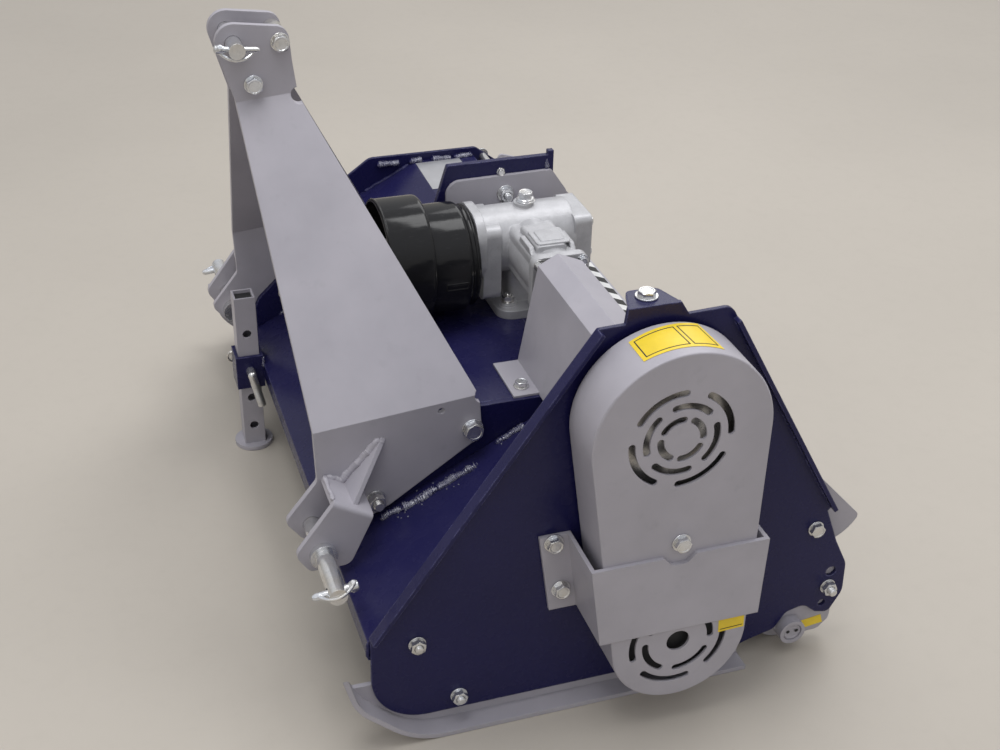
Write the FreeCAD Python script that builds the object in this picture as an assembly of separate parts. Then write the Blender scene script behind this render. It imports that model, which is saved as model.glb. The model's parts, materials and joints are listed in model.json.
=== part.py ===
"""Compact three-point-linkage flail mulcher, built as separate named pieces.

Frame: X across the machine (+X is the belt-guard end), -Y is the tractor side,
+Y the rear, Z up, floor at z = 0 under the skids and the roller.  Millimetres.
"""
import math
import os

import FreeCAD
import Part

V = FreeCAD.Vector

# ---------------------------------------------------------------- dimensions
# hull
HULL_W = 934.0            # over the outer faces of the two side plates
SIDE_T = 5.0              # side plate thickness
SHEET = 6.0               # deck sheet thickness
FRONT_Y = -278.0          # front edge of the sloping deck sheet
FRONT_Z = 142.0
DECK_Z = 303.0            # level deck top
SLOPE_TOP_Y = 30.0        # where the slope meets the level deck
DECK_REAR_Y = 132.0
FRONT_LIP = 26.0          # turned-down strip along the front edge
PLATE_BOTTOM = 21.0       # lowest edge of the side plates
PLATE_NOSE = -2.0         # side plates' reach ahead of the deck
NOSE_R = 66.0
LOW_RISE = 11.0           # low side plate above the deck
GUARD_RIM = 4.0           # tall side plate above the belt guard
LIP_OUT = 11.0            # lips' reach beyond the tall plate
TAB_RISE = 14.0           # adjuster tab above the tall plate
TAB_REACH = 38.0
# three-point hitch, category 1
EAR_SPAN = 683.0          # over the outer ears
EAR_T = 8.0
EAR_GAP = 59.5            # arm's outer face to ear's outer face
ARM_T = 8.0
ARM_REACH = 207.0         # arm's rear edge behind the lower pins
CLEVIS_GAP = 46.0         # between the two top-link plates
HITCH_AHEAD = 22.0        # lower pins ahead of the deck
HITCH_RISE = 38.0         # lower pins above the deck's front edge
MAST_H = 506.0            # top-link pin above the lower pins
MAST_LEAN = 14.0          # top-link pin ahead of the lower pins
LOWER_PIN_R = 11.0
TOP_PIN_R = 9.5
CLEVIS_BOLT_R = 8.0
PIN_FIT = 0.15            # radial room round a fixed pin
PIN_OUT = 81.5            # lower pin's end beyond the ear
COLLAR_T = 8.0
# rotor
ROTOR_Y = 63.0
TIP_R = 110.0
TIP_CLEAR = 12.5          # flail tips above the floor
TUBE_R = 51.0
TUBE_WALL = 9.0
ROTOR_GAP = 31.0          # rotor tube to side plate, each end
JOURNAL_R = 20.0
RUN_FIT = 0.06            # radial room in a running bearing
FLAIL_ROWS = 4
FLAIL_STATIONS = 14
FLAIL_W = 36.0
BEARING_T = 10.0
# belt drive
SHAFT_Y = 43.0
SHAFT_RISE = 97.0         # input and drive shafts above the deck
SHAFT_R = 17.5
PULLEY_TOP_R, PULLEY_LOW_R = 80.0, 58.0
PULLEY_W = 40.0
PULLEY_GAP = 6.0          # rotor bearing to pulley
GUARD_ROOM = 22.0         # pulley rim to guard
GUARD_SHIFT = 2.5         # guard's middle behind the shafts
GUARD_GAP = 7.0           # guard to side plate, held off on its post
GUARD_FRONT = 14.0        # pulley face to guard
GUARD_T = 3.0
GUARD_EDGE_R = 2.0
STRAP_T = 5.0
STRAP_LOW, STRAP_HIGH = 22.0, 127.0   # strap's edges above the rotor's middle
POST_R = 9.0              # post that carries the guard's face
# gearbox
GEAR_X = 35.0
GEAR_R = 45.0
GEAR_FRONT = 75.0         # front flange ahead of the drive shaft
GEAR_BACK = 81.0
INPUT_R = 17.46           # 1 3/8 inch six-spline shaft
INPUT_LEN = 106.0
OUT_REACH = 143.0         # output flange from the input shaft
MOUNT_REACH = 73.0        # mounting face from the input shaft, on the other side
BELL_R, BELL_MOUTH_R = 70.0, 80.0
BELL_DROP, MOUTH_DROP = 21.0, 13.0   # ring centres below the input shaft
BELL_STEP, BELL_LEN = 65.0, 121.0
BELL_T = 3.5
# roller
ROLL_Y = 255.0
ROLL_R = 32.0
ROLL_WALL = 5.0
ROLL_GAP = 19.0           # roller tube to side plate, each end
ROLL_AXLE_R = 12.0
BOSS_R = 17.0
BOSS_OUT = 10.0           # roller boss beyond the side plate
# hood
HINGE_BACK = 17.0         # hinge behind the deck edge
HINGE_R = 6.0
HOOD_T = 3.0
HOOD_GAP = 19.0           # hood to side plate
# parking stand
STAND_X = -185.0
STAND_TUBE = 30.0
STAND_TOP = 250.0
STAND_WALL = 3.0
SLIDE_FIT = 0.5
SLEEVE_T = 4.5
STAND_PIN_R = 6.2

X_OUT = HULL_W / 2
X_IN = X_OUT - SIDE_T
SLOPE = (DECK_Z - FRONT_Z) / (SLOPE_TOP_Y - FRONT_Y)
EAR_OUT = EAR_SPAN / 2
ARM_X = EAR_OUT - EAR_GAP
BRACKET_X = ARM_X - ARM_T
CLEVIS_X = CLEVIS_GAP / 2 + ARM_T
HITCH_Y, HITCH_Z = FRONT_Y - HITCH_AHEAD, FRONT_Z + HITCH_RISE
TOP_Y, TOP_Z = HITCH_Y - MAST_LEAN, HITCH_Z + MAST_H
PIN_END_X = EAR_OUT + PIN_OUT
ROTOR_Z = TIP_R + TIP_CLEAR
SHAFT_Z = DECK_Z + SHAFT_RISE
GUARD_R_TOP, GUARD_R_LOW = PULLEY_TOP_R + GUARD_ROOM, PULLEY_LOW_R + GUARD_ROOM + 2
PULLEY_X = X_OUT + BEARING_T + PULLEY_GAP
GUARD_OUT_X = PULLEY_X + PULLEY_W + GUARD_FRONT + GUARD_T
HIGH_TOP_Z = SHAFT_Z + GUARD_R_TOP + GUARD_RIM
LOW_TOP_Z = DECK_Z + LOW_RISE
TAB_Z = HIGH_TOP_Z + TAB_RISE
GEAR_FRONT_Y = SHAFT_Y - GEAR_FRONT
OUT_FLANGE_X = GEAR_X + OUT_REACH
ROLL_Z = ROLL_R
HINGE_Y, HINGE_Z = DECK_REAR_Y + HINGE_BACK, DECK_Z - 4
STAND_Y = FRONT_Y - STAND_TUBE / 2 - SLIDE_FIT - SLEEVE_T


# ------------------------------------------------------------------- helpers
def point(plane, u, v, at):
    return {"yz": V(at, u, v), "xz": V(u, at, v), "xy": V(u, v, at)}[plane]


def wire(points, plane, at):
    """Closed outline from (u, v[, r]) corners, r rounding that corner."""
    pts = [(p[0], p[1], p[2] if len(p) > 2 else 0.0) for p in points]
    n = len(pts)
    ends = []
    for i, (u, v, r) in enumerate(pts):
        pu, pv, _ = pts[i - 1]
        nu, nv, _ = pts[(i + 1) % n]
        if r <= 0:
            ends.append(((u, v), None, (u, v)))
            continue
        a = V(pu - u, pv - v, 0).normalize()
        b = V(nu - u, nv - v, 0).normalize()
        half = a.getAngle(b) / 2
        d = r / math.tan(half)
        bis = (a + b).normalize()
        mid = r / math.sin(half) - r
        ends.append(((u + a.x * d, v + a.y * d), (u + bis.x * mid, v + bis.y * mid),
                     (u + b.x * d, v + b.y * d)))
    edges = []
    for i in range(n):
        start, mid, end = ends[i]
        if mid:
            edges.append(Part.Arc(point(plane, *start, at), point(plane, *mid, at),
                                  point(plane, *end, at)).toShape())
        nxt = ends[(i + 1) % n][0]
        p, q = point(plane, *end, at), point(plane, *nxt, at)
        if p.distanceToPoint(q) > 1e-6:
            edges.append(Part.LineSegment(p, q).toShape())
    return Part.Wire(edges)


def slab(points, plane, a0, a1):
    """Outline swept from a0 to a1 along the axis across its plane."""
    axis = {"yz": V(1, 0, 0), "xz": V(0, 1, 0), "xy": V(0, 0, 1)}[plane]
    return Part.Face(wire(points, plane, a0)).extrude(axis * (a1 - a0))


def offset_path(path, t):
    """The path moved sideways (to its left) by t, with mitred corners."""
    out = []
    n = len(path)
    for i, p in enumerate(path):
        norms = []
        for a, b in ((i - 1, i), (i, i + 1)):
            if a < 0 or b >= n:
                continue
            du, dv = path[b][0] - path[a][0], path[b][1] - path[a][1]
            s = math.hypot(du, dv)
            norms.append((-dv / s, du / s))
        if len(norms) == 1:
            nu, nv = norms[0]
            out.append((p[0] + nu * t, p[1] + nv * t))
        else:
            (a1, b1), (a2, b2) = norms
            k = t / (1 + a1 * a2 + b1 * b2)
            out.append((p[0] + (a1 + a2) * k, p[1] + (b1 + b2) * k))
    return out


def fold(path, t, plane, a0, a1):
    """Folded sheet of thickness t on the left of an open path."""
    pts = [(p[0], p[1]) for p in path]
    return slab(pts + offset_path(pts, t)[::-1], plane, a0, a1)


def bent(path, t, plane, a0, a1):
    """Rolled sheet of thickness t on the inner side of an open (u, v[, r]) path."""
    inner = [q + (max(p[2] - t, 0.0) if len(p) > 2 else 0.0,)
             for p, q in zip(path, offset_path([p[:2] for p in path], -t))]
    return slab(list(path) + inner[::-1], plane, a0, a1)


def rod(axis, u, v, r, a0, a1):
    """Round bar along an axis; u, v are the other two coordinates in order."""
    base = {"x": V(a0, u, v), "y": V(u, a0, v), "z": V(u, v, a0)}[axis]
    way = {"x": V(1, 0, 0), "y": V(0, 1, 0), "z": V(0, 0, 1)}[axis]
    return Part.makeCylinder(r, a1 - a0, base, way)


def tube(axis, u, v, r_out, r_in, a0, a1):
    return rod(axis, u, v, r_out, a0, a1).cut(rod(axis, u, v, r_in, a0 - 1, a1 + 1))


def box(x0, x1, y0, y1, z0, z1):
    return Part.makeBox(x1 - x0, y1 - y0, z1 - z0, V(x0, y0, z0))


def around(u, v, du, dv, r):
    """Rectangle of half sizes du, dv about (u, v) with rounded corners."""
    return [(u - du, v - dv, r), (u - du, v + dv, r), (u + du, v + dv, r), (u + du, v - dv, r)]


def shifted(points, u, v):
    return [(p[0] + u, p[1] + v) + tuple(p[2:]) for p in points]


def join(*shapes):
    out = shapes[0].fuse(list(shapes[1:])) if len(shapes) > 1 else shapes[0]
    return out.removeSplitter()


def mirror(shape):
    return shape.mirror(V(0, 0, 0), V(1, 0, 0))


def slope_z(y):
    """Top of the sloping deck sheet at y."""
    return FRONT_Z + SLOPE * (y - FRONT_Y)


def above(y, lift=0.0, r=0.0):
    """Point a given height over the sloping deck."""
    return (y, slope_z(y) + lift, r)


def cross_hole(shape, y, z, r, x0, x1):
    return shape.cut(rod("x", y, z, r, x0 - 1, x1 + 1))


pieces = {}

# ---------------------------------------------------------------- side plates
NOSE_Y = FRONT_Y - PLATE_NOSE
NOSE_Z = FRONT_Z + 7
RISE_Y = SHAFT_Y - 70           # tall plate's front top corner
RISE_Z = HIGH_TOP_Z - 5
FALL_Y = SHAFT_Y + 81           # tall plate's rear top corner
TAIL_Y, TAIL_Z = ROLL_Y + 28, 206.0
REAR_EDGE = [(TAIL_Y, TAIL_Z), (ROLL_Y + 47, 157, 60), (ROLL_Y + 66, 119, 24),
             (ROLL_Y + 68, ROLL_Z + 43, 26), (ROLL_Y + 52, ROLL_Z + 13, 9),
             (ROLL_Y + 33, ROLL_Z + 18, 8), (ROLL_Y + 16, ROLL_Z + 33, 14),
             (ROLL_Y - 8, ROLL_Z + 27, 12), (ROLL_Y - 22, ROLL_Z + 4, 14),
             (ROLL_Y - 60, PLATE_BOTTOM + 5, 20), (ROLL_Y - 72, PLATE_BOTTOM, 10)]
FRONT_EDGE = [(NOSE_Y, PLATE_BOTTOM, NOSE_R)]
LIP_END = (TAIL_Y + 7, TAIL_Z + 7)
high = ([(NOSE_Y, NOSE_Z), (RISE_Y, RISE_Z, 3), (FALL_Y, HIGH_TOP_Z, 14), LIP_END]
        + REAR_EDGE + FRONT_EDGE)
low = [(NOSE_Y, NOSE_Z), (RISE_Y - 15, LOW_TOP_Z + 2, 20),
       (FALL_Y + 12, LOW_TOP_Z + 2, 14)] + REAR_EDGE + FRONT_EDGE
plate = slab(high, "yz", X_IN, X_OUT)
fall = (LIP_END[0] - FALL_Y) / (LIP_END[1] - HIGH_TOP_Z)
lip_front = fold([(RISE_Y, RISE_Z), (NOSE_Y, NOSE_Z)], SIDE_T, "yz", X_OUT - 1, X_OUT + LIP_OUT)
lip_rear = fold([LIP_END, (FALL_Y - 13 * fall, HIGH_TOP_Z - 13)], SIDE_T, "yz",
                X_OUT - 1, X_OUT + LIP_OUT)
TAB_T = SIDE_T
tab_up = slab([(SHAFT_Y - 40, HIGH_TOP_Z - 4), (SHAFT_Y - 38, TAB_Z), (SHAFT_Y + 22, TAB_Z),
               (SHAFT_Y + 33, HIGH_TOP_Z - 4)], "yz", X_OUT - TAB_T, X_OUT)
tab_in = slab([(X_OUT, SHAFT_Y - 38), (X_OUT - TAB_REACH, SHAFT_Y - 26, 8),
               (X_OUT - TAB_REACH, SHAFT_Y + 9, 10), (X_OUT, SHAFT_Y + 22)],
              "xy", TAB_Z - TAB_T, TAB_Z)
TENS_X, TENS_Y = X_OUT - 21, SHAFT_Y - 9
TENS_R = 6.0
POST_Y, POST_Z = ROTOR_Y - 9, ROTOR_Z + STRAP_HIGH + 16
post = rod("x", POST_Y, POST_Z, POST_R, X_IN, GUARD_OUT_X - GUARD_T)
side_left = join(plate, lip_front, lip_rear, tab_up, tab_in, post)
side_left = side_left.cut(rod("z", TENS_X, TENS_Y, TENS_R, TAB_Z - TAB_T - 5, TAB_Z + 5))
side_right = mirror(slab(low, "yz", X_IN, X_OUT))
ROTOR_HOLE_R = JOURNAL_R + 14
SHAFT_HOLE_R = SHAFT_R + 2.0
side_left = cross_hole(side_left, ROTOR_Y, ROTOR_Z, ROTOR_HOLE_R, X_IN, X_OUT)
side_left = cross_hole(side_left, SHAFT_Y, SHAFT_Z, SHAFT_HOLE_R, X_IN, X_OUT)
side_right = cross_hole(side_right, ROTOR_Y, ROTOR_Z, ROTOR_HOLE_R, -X_OUT, -X_IN)
ADJUST_HOLES = [(ROLL_Y + 47, ROLL_Z + 78, 7.0), (ROLL_Y + 50, ROLL_Z + 47, 7.0),
                (ROLL_Y + 41, ROLL_Z + 30, 5.0)]
for y, z, r in ADJUST_HOLES:
    side_left = cross_hole(side_left, y, z, r, X_IN, X_OUT)
    side_right = cross_hole(side_right, y, z, r, -X_OUT, -X_IN)
pieces["side_plate_left"] = side_left
pieces["side_plate_right"] = side_right

# ----------------------------------------------------------------- deck sheet
deck_path = [(FRONT_Y, FRONT_Z - FRONT_LIP), (FRONT_Y, FRONT_Z), (SLOPE_TOP_Y, DECK_Z),
             (DECK_REAR_Y, DECK_Z)]
deck = fold(deck_path, -SHEET, "yz", -X_IN, X_IN)
KNUCKLE_R = HINGE_R + 4
KNUCKLE_W = 40.0
FIXED_KNUCKLES = [k * (X_IN - 189) for k in (-1, 0, 1)]
for x in FIXED_KNUCKLES:
    deck = deck.fuse(tube("x", HINGE_Y, HINGE_Z, KNUCKLE_R, HINGE_R,
                          x - KNUCKLE_W / 2, x + KNUCKLE_W / 2))
    deck = deck.fuse(box(x - KNUCKLE_W / 2, x + KNUCKLE_W / 2, DECK_REAR_Y - 1,
                         HINGE_Y - HINGE_R - 1, DECK_Z - SHEET, DECK_Z))
pieces["deck_sheet"] = deck.removeSplitter()

# raised level platform between the arm brackets, and the brackets themselves
BRACKET_T = 8.0
PLATFORM_FRONT = SLOPE_TOP_Y - 135
bracket = slab([above(HITCH_Y + 31), above(HITCH_Y + 31, 43, 30), (HITCH_Y + 150, DECK_Z, 30),
                above(SLOPE_TOP_Y)], "yz", BRACKET_X - BRACKET_T, BRACKET_X)
pieces["arm_bracket_left"] = bracket
pieces["arm_bracket_right"] = mirror(bracket)
platform_path = [above(PLATFORM_FRONT)[:2], (PLATFORM_FRONT, DECK_Z), (SLOPE_TOP_Y, DECK_Z)]
platform = fold(platform_path, -SHEET, "yz", -BRACKET_X + BRACKET_T, BRACKET_X - BRACKET_T)
below = slab([(FRONT_Y, 0), above(FRONT_Y), above(SLOPE_TOP_Y), (SLOPE_TOP_Y, 0)], "yz",
             -X_IN, X_IN)
pieces["platform"] = platform.cut(below)

# ---------------------------------------------------------------------- skids
SKID_T = 6.0
SKID_WEB = 6.0
SKID_REAR_Y = ROLL_Y - 67
TOE_Y, TOE_Z = FRONT_Y - 35, FRONT_Z - 26
skid_path = [(SKID_REAR_Y, 0), (FRONT_Y + 48, 0, 95), (FRONT_Y - 22, 66, 70), (TOE_Y, TOE_Z)]
runner = bent(skid_path, SKID_T, "yz", X_IN - SKID_WEB, X_OUT + 21)
middle = [q + ((p[2] - SKID_T / 2) if len(p) > 2 else 0.0,)
          for p, q in zip(skid_path, offset_path([p[:2] for p in skid_path], -SKID_T / 2))]
web = slab(middle + [(SKID_REAR_Y, TOE_Z)], "yz", X_IN - SKID_WEB, X_IN)
web = web.common(slab([(FRONT_Y - 60, 0), (FRONT_Y - 60, TOE_Z - 36), (FRONT_Y + 40, TOE_Z - 38, 30),
                       (FRONT_Y + 128, 62, 40), (SKID_REAR_Y, 45, 10), (SKID_REAR_Y, 0)], "yz",
                      X_IN - SKID_WEB, X_IN))
toe_cut = slab([(X_IN - SKID_WEB - 1, TOE_Z - 38), (X_OUT + 22, TOE_Z + 1), (X_OUT + 22, TOE_Z + 20),
                (X_IN - SKID_WEB - 1, TOE_Z + 20)], "xz", TOE_Y - 20, TOE_Y + 40)
runner = runner.cut(toe_cut)
skid = join(runner, web)
pieces["skid_left"] = skid
pieces["skid_right"] = mirror(skid)

# ---------------------------------------------------------------- hitch tower
FOLD_TILT = 0.09          # the folds rise to the rear by this much per mm
TOP_FOLD_Z, LOW_FOLD_Z = TOP_Z - 68, DECK_Z + 12
ARM_REAR_Y = HITCH_Y + ARM_REACH
tower_path = [(CLEVIS_X, TOP_Z + 94), (CLEVIS_X, TOP_FOLD_Z), (ARM_X, LOW_FOLD_Z - ARM_T),
              (ARM_X, HITCH_Z - 80)]
tower_pts = tower_path + offset_path(tower_path, -ARM_T)[::-1]
start_y, run = HITCH_Y - 120, ARM_REACH + 273
tilt_from = HITCH_Y + 10
tower = Part.Face(wire([(u, v + FOLD_TILT * (start_y - tilt_from)) for u, v in tower_pts],
                       "xz", start_y)).extrude(V(0, run, run * FOLD_TILT))
outline = [(TOP_Y - 2, TOP_FOLD_Z - 2), (TOP_Y - 29, TOP_Z + 27, 22),
           (TOP_Y + 64, TOP_Z + 15, 16), (TOP_Y + 67, TOP_Z - 27), (TOP_Y + 72, TOP_FOLD_Z),
           (ARM_REAR_Y, LOW_FOLD_Z + 7), above(ARM_REAR_Y + 4, 22, 8),
           above(ARM_REAR_Y - 10, 24, 8), above(ARM_REAR_Y - 113, 8, 6),
           (HITCH_Y + 32, HITCH_Z - 22, 20), (HITCH_Y - 11, HITCH_Z - 20, 12),
           (HITCH_Y - 32, HITCH_Z + 8, 10), (HITCH_Y + 9, HITCH_Z + 59, 10),
           (HITCH_Y + 7, LOW_FOLD_Z - 11)]
arm = tower.common(slab(outline, "yz", 0, EAR_OUT))
NOTCH_R = 9.0             # relief where the folds meet the rear edge
arm = cross_hole(arm, TOP_Y + 72, TOP_FOLD_Z + 1, NOTCH_R, CLEVIS_X - 11, CLEVIS_X + 29)
arm = cross_hole(arm, ARM_REAR_Y + 3, LOW_FOLD_Z + 7, NOTCH_R, ARM_X - 20, ARM_X + 18)
CLEVIS_BOLTS = [(TOP_Y + 54, TOP_Z - 2), (TOP_Y + 20, TOP_Z - 50)]
arm = cross_hole(arm, TOP_Y, TOP_Z, TOP_PIN_R + PIN_FIT, 0, 2 * CLEVIS_X)
for y, z in CLEVIS_BOLTS:
    arm = cross_hole(arm, y, z, CLEVIS_BOLT_R + PIN_FIT, 0, 2 * CLEVIS_X)
arm = cross_hole(arm, HITCH_Y + 160, LOW_FOLD_Z - 5, 4, ARM_X - 32, ARM_X)
arm = cross_hole(arm, HITCH_Y, HITCH_Z, LOWER_PIN_R + PIN_FIT, ARM_X - 32, ARM_X)
pieces["hitch_arm_left"] = arm
pieces["hitch_arm_right"] = mirror(arm)

ear = slab(shifted([(17, 68), (-32, 3, 12), (-16, -22, 10), (32, -22, 14), (62, 42)],
                   HITCH_Y, HITCH_Z), "yz", EAR_OUT - EAR_T, EAR_OUT)
web = slab(shifted([(17, 68), (62, 42), (58, 35), (13, 61)], HITCH_Y, HITCH_Z),
           "yz", ARM_X, EAR_OUT - EAR_T)
RIB_T = 6.0
root_y, root_z = HITCH_Y + 37, HITCH_Z + 51
tip_y, tip_z = HITCH_Y + 88, HITCH_Z + 108
run = math.hypot(tip_y - root_y, tip_z - root_z)
across = V(0, tip_z - root_z, root_y - tip_y) * (RIB_T / run)
rib = Part.Face(Part.makePolygon([V(ARM_X, root_y, root_z), V(EAR_OUT - EAR_T, root_y, root_z),
                                  V(ARM_X, tip_y, tip_z), V(ARM_X, root_y, root_z)]))
BEND_R = 0.75 * EAR_T
bend = join(ear, web)
fold_line = [e for e in bend.Edges if e.BoundBox.XMin > EAR_OUT - 0.01
             and e.BoundBox.YMin > HITCH_Y + 16 and e.BoundBox.ZMin > HITCH_Z + 41]
hitch = join(bend.makeFillet(BEND_R, fold_line), rib.extrude(across))
hitch = cross_hole(hitch, HITCH_Y, HITCH_Z, LOWER_PIN_R + PIN_FIT, EAR_OUT - EAR_T, EAR_OUT)
pieces["hitch_bracket_left"] = hitch
pieces["hitch_bracket_right"] = mirror(hitch)

HEAD_T = 12.0
LINCH_R = 5.2
pin = join(rod("x", HITCH_Y, HITCH_Z, LOWER_PIN_R, BRACKET_X - HEAD_T, PIN_END_X),
           rod("x", HITCH_Y, HITCH_Z, LOWER_PIN_R + 6, BRACKET_X - HEAD_T, BRACKET_X),
           rod("x", HITCH_Y, HITCH_Z, LOWER_PIN_R + 5, EAR_OUT, EAR_OUT + COLLAR_T))
pin = pin.cut(rod("y", PIN_END_X - 12, HITCH_Z, LINCH_R, HITCH_Y - 30, HITCH_Y + 30))
pieces["lower_pin_left"] = pin
pieces["lower_pin_right"] = mirror(pin)

top = join(rod("x", TOP_Y, TOP_Z, TOP_PIN_R, -CLEVIS_X - 18, CLEVIS_X + 30),
           rod("x", TOP_Y, TOP_Z, TOP_PIN_R + 5.5, -CLEVIS_X - 18, -CLEVIS_X))
pieces["top_pin"] = top.cut(rod("y", CLEVIS_X + 20, TOP_Z, 4.0, TOP_Y - 30, TOP_Y + 30))
bolts = []
for y, z in CLEVIS_BOLTS:
    bolts.append(join(rod("x", y, z, CLEVIS_BOLT_R, -CLEVIS_X - 14, CLEVIS_X + 14),
                      rod("x", y, z, CLEVIS_BOLT_R + 3, -CLEVIS_GAP / 2, CLEVIS_GAP / 2),
                      rod("x", y, z, CLEVIS_BOLT_R + 3, CLEVIS_X, CLEVIS_X + 9),
                      rod("x", y, z, CLEVIS_BOLT_R + 3, -CLEVIS_X - 11, -CLEVIS_X)))
pieces["clevis_bolts"] = Part.Compound(bolts)

# -------------------------------------------------------------------- gearbox
FLANGE_T = 12.0
FOOT_T = 12.0
NECK = 24.0               # half width of the leg over the foot
REAR_Y = SHAFT_Y + GEAR_BACK
g1 = GEAR_X + GEAR_R
foot = slab(around(GEAR_X, SHAFT_Y, GEAR_R + 5, GEAR_R, 22), "xy", DECK_Z, DECK_Z + FOOT_T)
body = [rod("y", GEAR_X, SHAFT_Z, GEAR_R - 1, GEAR_FRONT_Y + 4, REAR_Y - 22),
        slab(around(GEAR_X, SHAFT_Z, GEAR_R + 2, GEAR_R + 2, 34), "xz",
             GEAR_FRONT_Y, GEAR_FRONT_Y + FLANGE_T),
        slab(around(GEAR_X, SHAFT_Z - 17, GEAR_R, GEAR_R + 6, 12), "xz",
             GEAR_FRONT_Y + 8, GEAR_FRONT_Y + 32),
        slab(around(GEAR_X, SHAFT_Z - 1, GEAR_R - 3, GEAR_R - 9, 10), "xz", REAR_Y - 24, REAR_Y),
        slab(around(GEAR_X, SHAFT_Y, NECK, NECK, 10), "xy", DECK_Z, SHAFT_Z),
        foot,
        rod("x", SHAFT_Y, SHAFT_Z, GEAR_R - 10, GEAR_X, OUT_FLANGE_X - 10),
        rod("x", SHAFT_Y, SHAFT_Z, GEAR_R - 28, GEAR_X - MOUNT_REACH, GEAR_X),
        slab(around(SHAFT_Y, SHAFT_Z, GEAR_R - 14, GEAR_R - 14, 8), "yz", GEAR_X, OUT_FLANGE_X - 10),
        slab(around(SHAFT_Y, SHAFT_Z, GEAR_R - 8, GEAR_R - 8, 12), "yz",
             OUT_FLANGE_X - 12, OUT_FLANGE_X),
        slab(around(SHAFT_Y - 3, SHAFT_Z + 20, GEAR_R - 26, 19, 4), "yz",
             g1 + 8, OUT_FLANGE_X - 26),
        rod("z", GEAR_X, SHAFT_Y, 13, SHAFT_Z, SHAFT_Z + GEAR_R + 3)]
for sx in (-1, 1):
    for sy in (-1, 1):
        body.append(rod("z", GEAR_X + sx * (GEAR_R - 18), SHAFT_Y + sy * (GEAR_R - 18), 12,
                        DECK_Z, DECK_Z + FOOT_T + 4))
body = join(*body)
body = body.cut(rod("y", GEAR_X, SHAFT_Z, INPUT_R + 2 + RUN_FIT, GEAR_FRONT_Y - 1, SHAFT_Y))
body = body.cut(rod("y", GEAR_X, SHAFT_Z, INPUT_R + 6, GEAR_FRONT_Y + FLANGE_T, SHAFT_Y))
body = cross_hole(body, SHAFT_Y, SHAFT_Z, SHAFT_R + RUN_FIT, GEAR_X + 60, OUT_FLANGE_X)
pieces["gearbox_housing"] = body

MOUNT_T = 6.0
WALL_T = 8.0
mount_x = GEAR_X - MOUNT_REACH
m0, m1 = SHAFT_Y - 82, SHAFT_Y + 88
pieces["gearbox_mount_plate"] = slab(
    [(m0, DECK_Z), (m0, SHAFT_Z + 52, 20), (SHAFT_Y + 66, SHAFT_Z + 54, 8),
     (m1, SHAFT_Z + 22, 8), (m1, DECK_Z)], "yz", mount_x - MOUNT_T, mount_x)
wall_x = mount_x - MOUNT_T
wall_top = SHAFT_Z + 73
back = slab([(SHAFT_Y - 132, DECK_Z), (SHAFT_Y - 79, wall_top, 3), (SHAFT_Y + 68, wall_top, 3),
             (SHAFT_Y + 68, DECK_Z)], "yz", wall_x - WALL_T, wall_x)
post = box(wall_x - WALL_T, wall_x, SHAFT_Y + 62, SHAFT_Y + 70, DECK_Z, wall_top + 6)
pieces["gearbox_bracket"] = join(back, post)

INPUT_FRONT_Y = GEAR_FRONT_Y - INPUT_LEN
shaft = join(rod("y", GEAR_X, SHAFT_Z, INPUT_R, INPUT_FRONT_Y, GEAR_FRONT_Y),
             rod("y", GEAR_X, SHAFT_Z, INPUT_R + 2, GEAR_FRONT_Y, GEAR_FRONT_Y + 26),
             rod("y", GEAR_X, SHAFT_Z, INPUT_R, GEAR_FRONT_Y + 26, SHAFT_Y - 3))
GROOVES = 6
for i in range(GROOVES):
    a = 2 * math.pi * i / GROOVES
    cx = GEAR_X + math.cos(a) * (INPUT_R + 2.0)
    cz = SHAFT_Z + math.sin(a) * (INPUT_R + 2.0)
    shaft = shaft.cut(rod("y", cx, cz, 4.2, INPUT_FRONT_Y - 1, GEAR_FRONT_Y - 16))
pieces["input_shaft"] = shaft

step_y, mouth_y = GEAR_FRONT_Y - BELL_STEP, GEAR_FRONT_Y - BELL_LEN
near_z, mouth_z = SHAFT_Z - BELL_DROP, SHAFT_Z - MOUTH_DROP


def ring(z, r, y0, y1, r_edge):
    """Short drum along Y, its rear edge rounded."""
    drum = rod("y", GEAR_X, z, r, y0, y1)
    end = [e for e in drum.Edges if abs(e.BoundBox.YMin - y1) < 0.01
           and abs(e.BoundBox.YMax - y1) < 0.01]
    return drum.makeFillet(r_edge, end)


MOUTH_ROUND, NEAR_ROUND = 13.0, 7.0
SEAT_R, SEAT_LEN = BELL_R - 6, 8.0          # narrower band against the gearbox flange
bell = join(ring(near_z, BELL_R, step_y, GEAR_FRONT_Y - SEAT_LEN, NEAR_ROUND),
            ring(near_z, SEAT_R, step_y, GEAR_FRONT_Y, 2),
            ring(mouth_z, BELL_MOUTH_R, mouth_y, step_y, MOUTH_ROUND))
bell = bell.cut(ring(near_z, BELL_R - BELL_T, step_y - 2 * BELL_T,
                     GEAR_FRONT_Y - SEAT_LEN - BELL_T, NEAR_ROUND - BELL_T))
bell = bell.cut(ring(mouth_z, BELL_MOUTH_R - BELL_T, mouth_y - 1, step_y - BELL_T,
                     MOUTH_ROUND - BELL_T))
bell = bell.cut(rod("y", GEAR_X, SHAFT_Z, INPUT_R + 20, GEAR_FRONT_Y - 2 * SEAT_LEN,
                    GEAR_FRONT_Y + 1))
pieces["input_guard"] = bell

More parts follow.
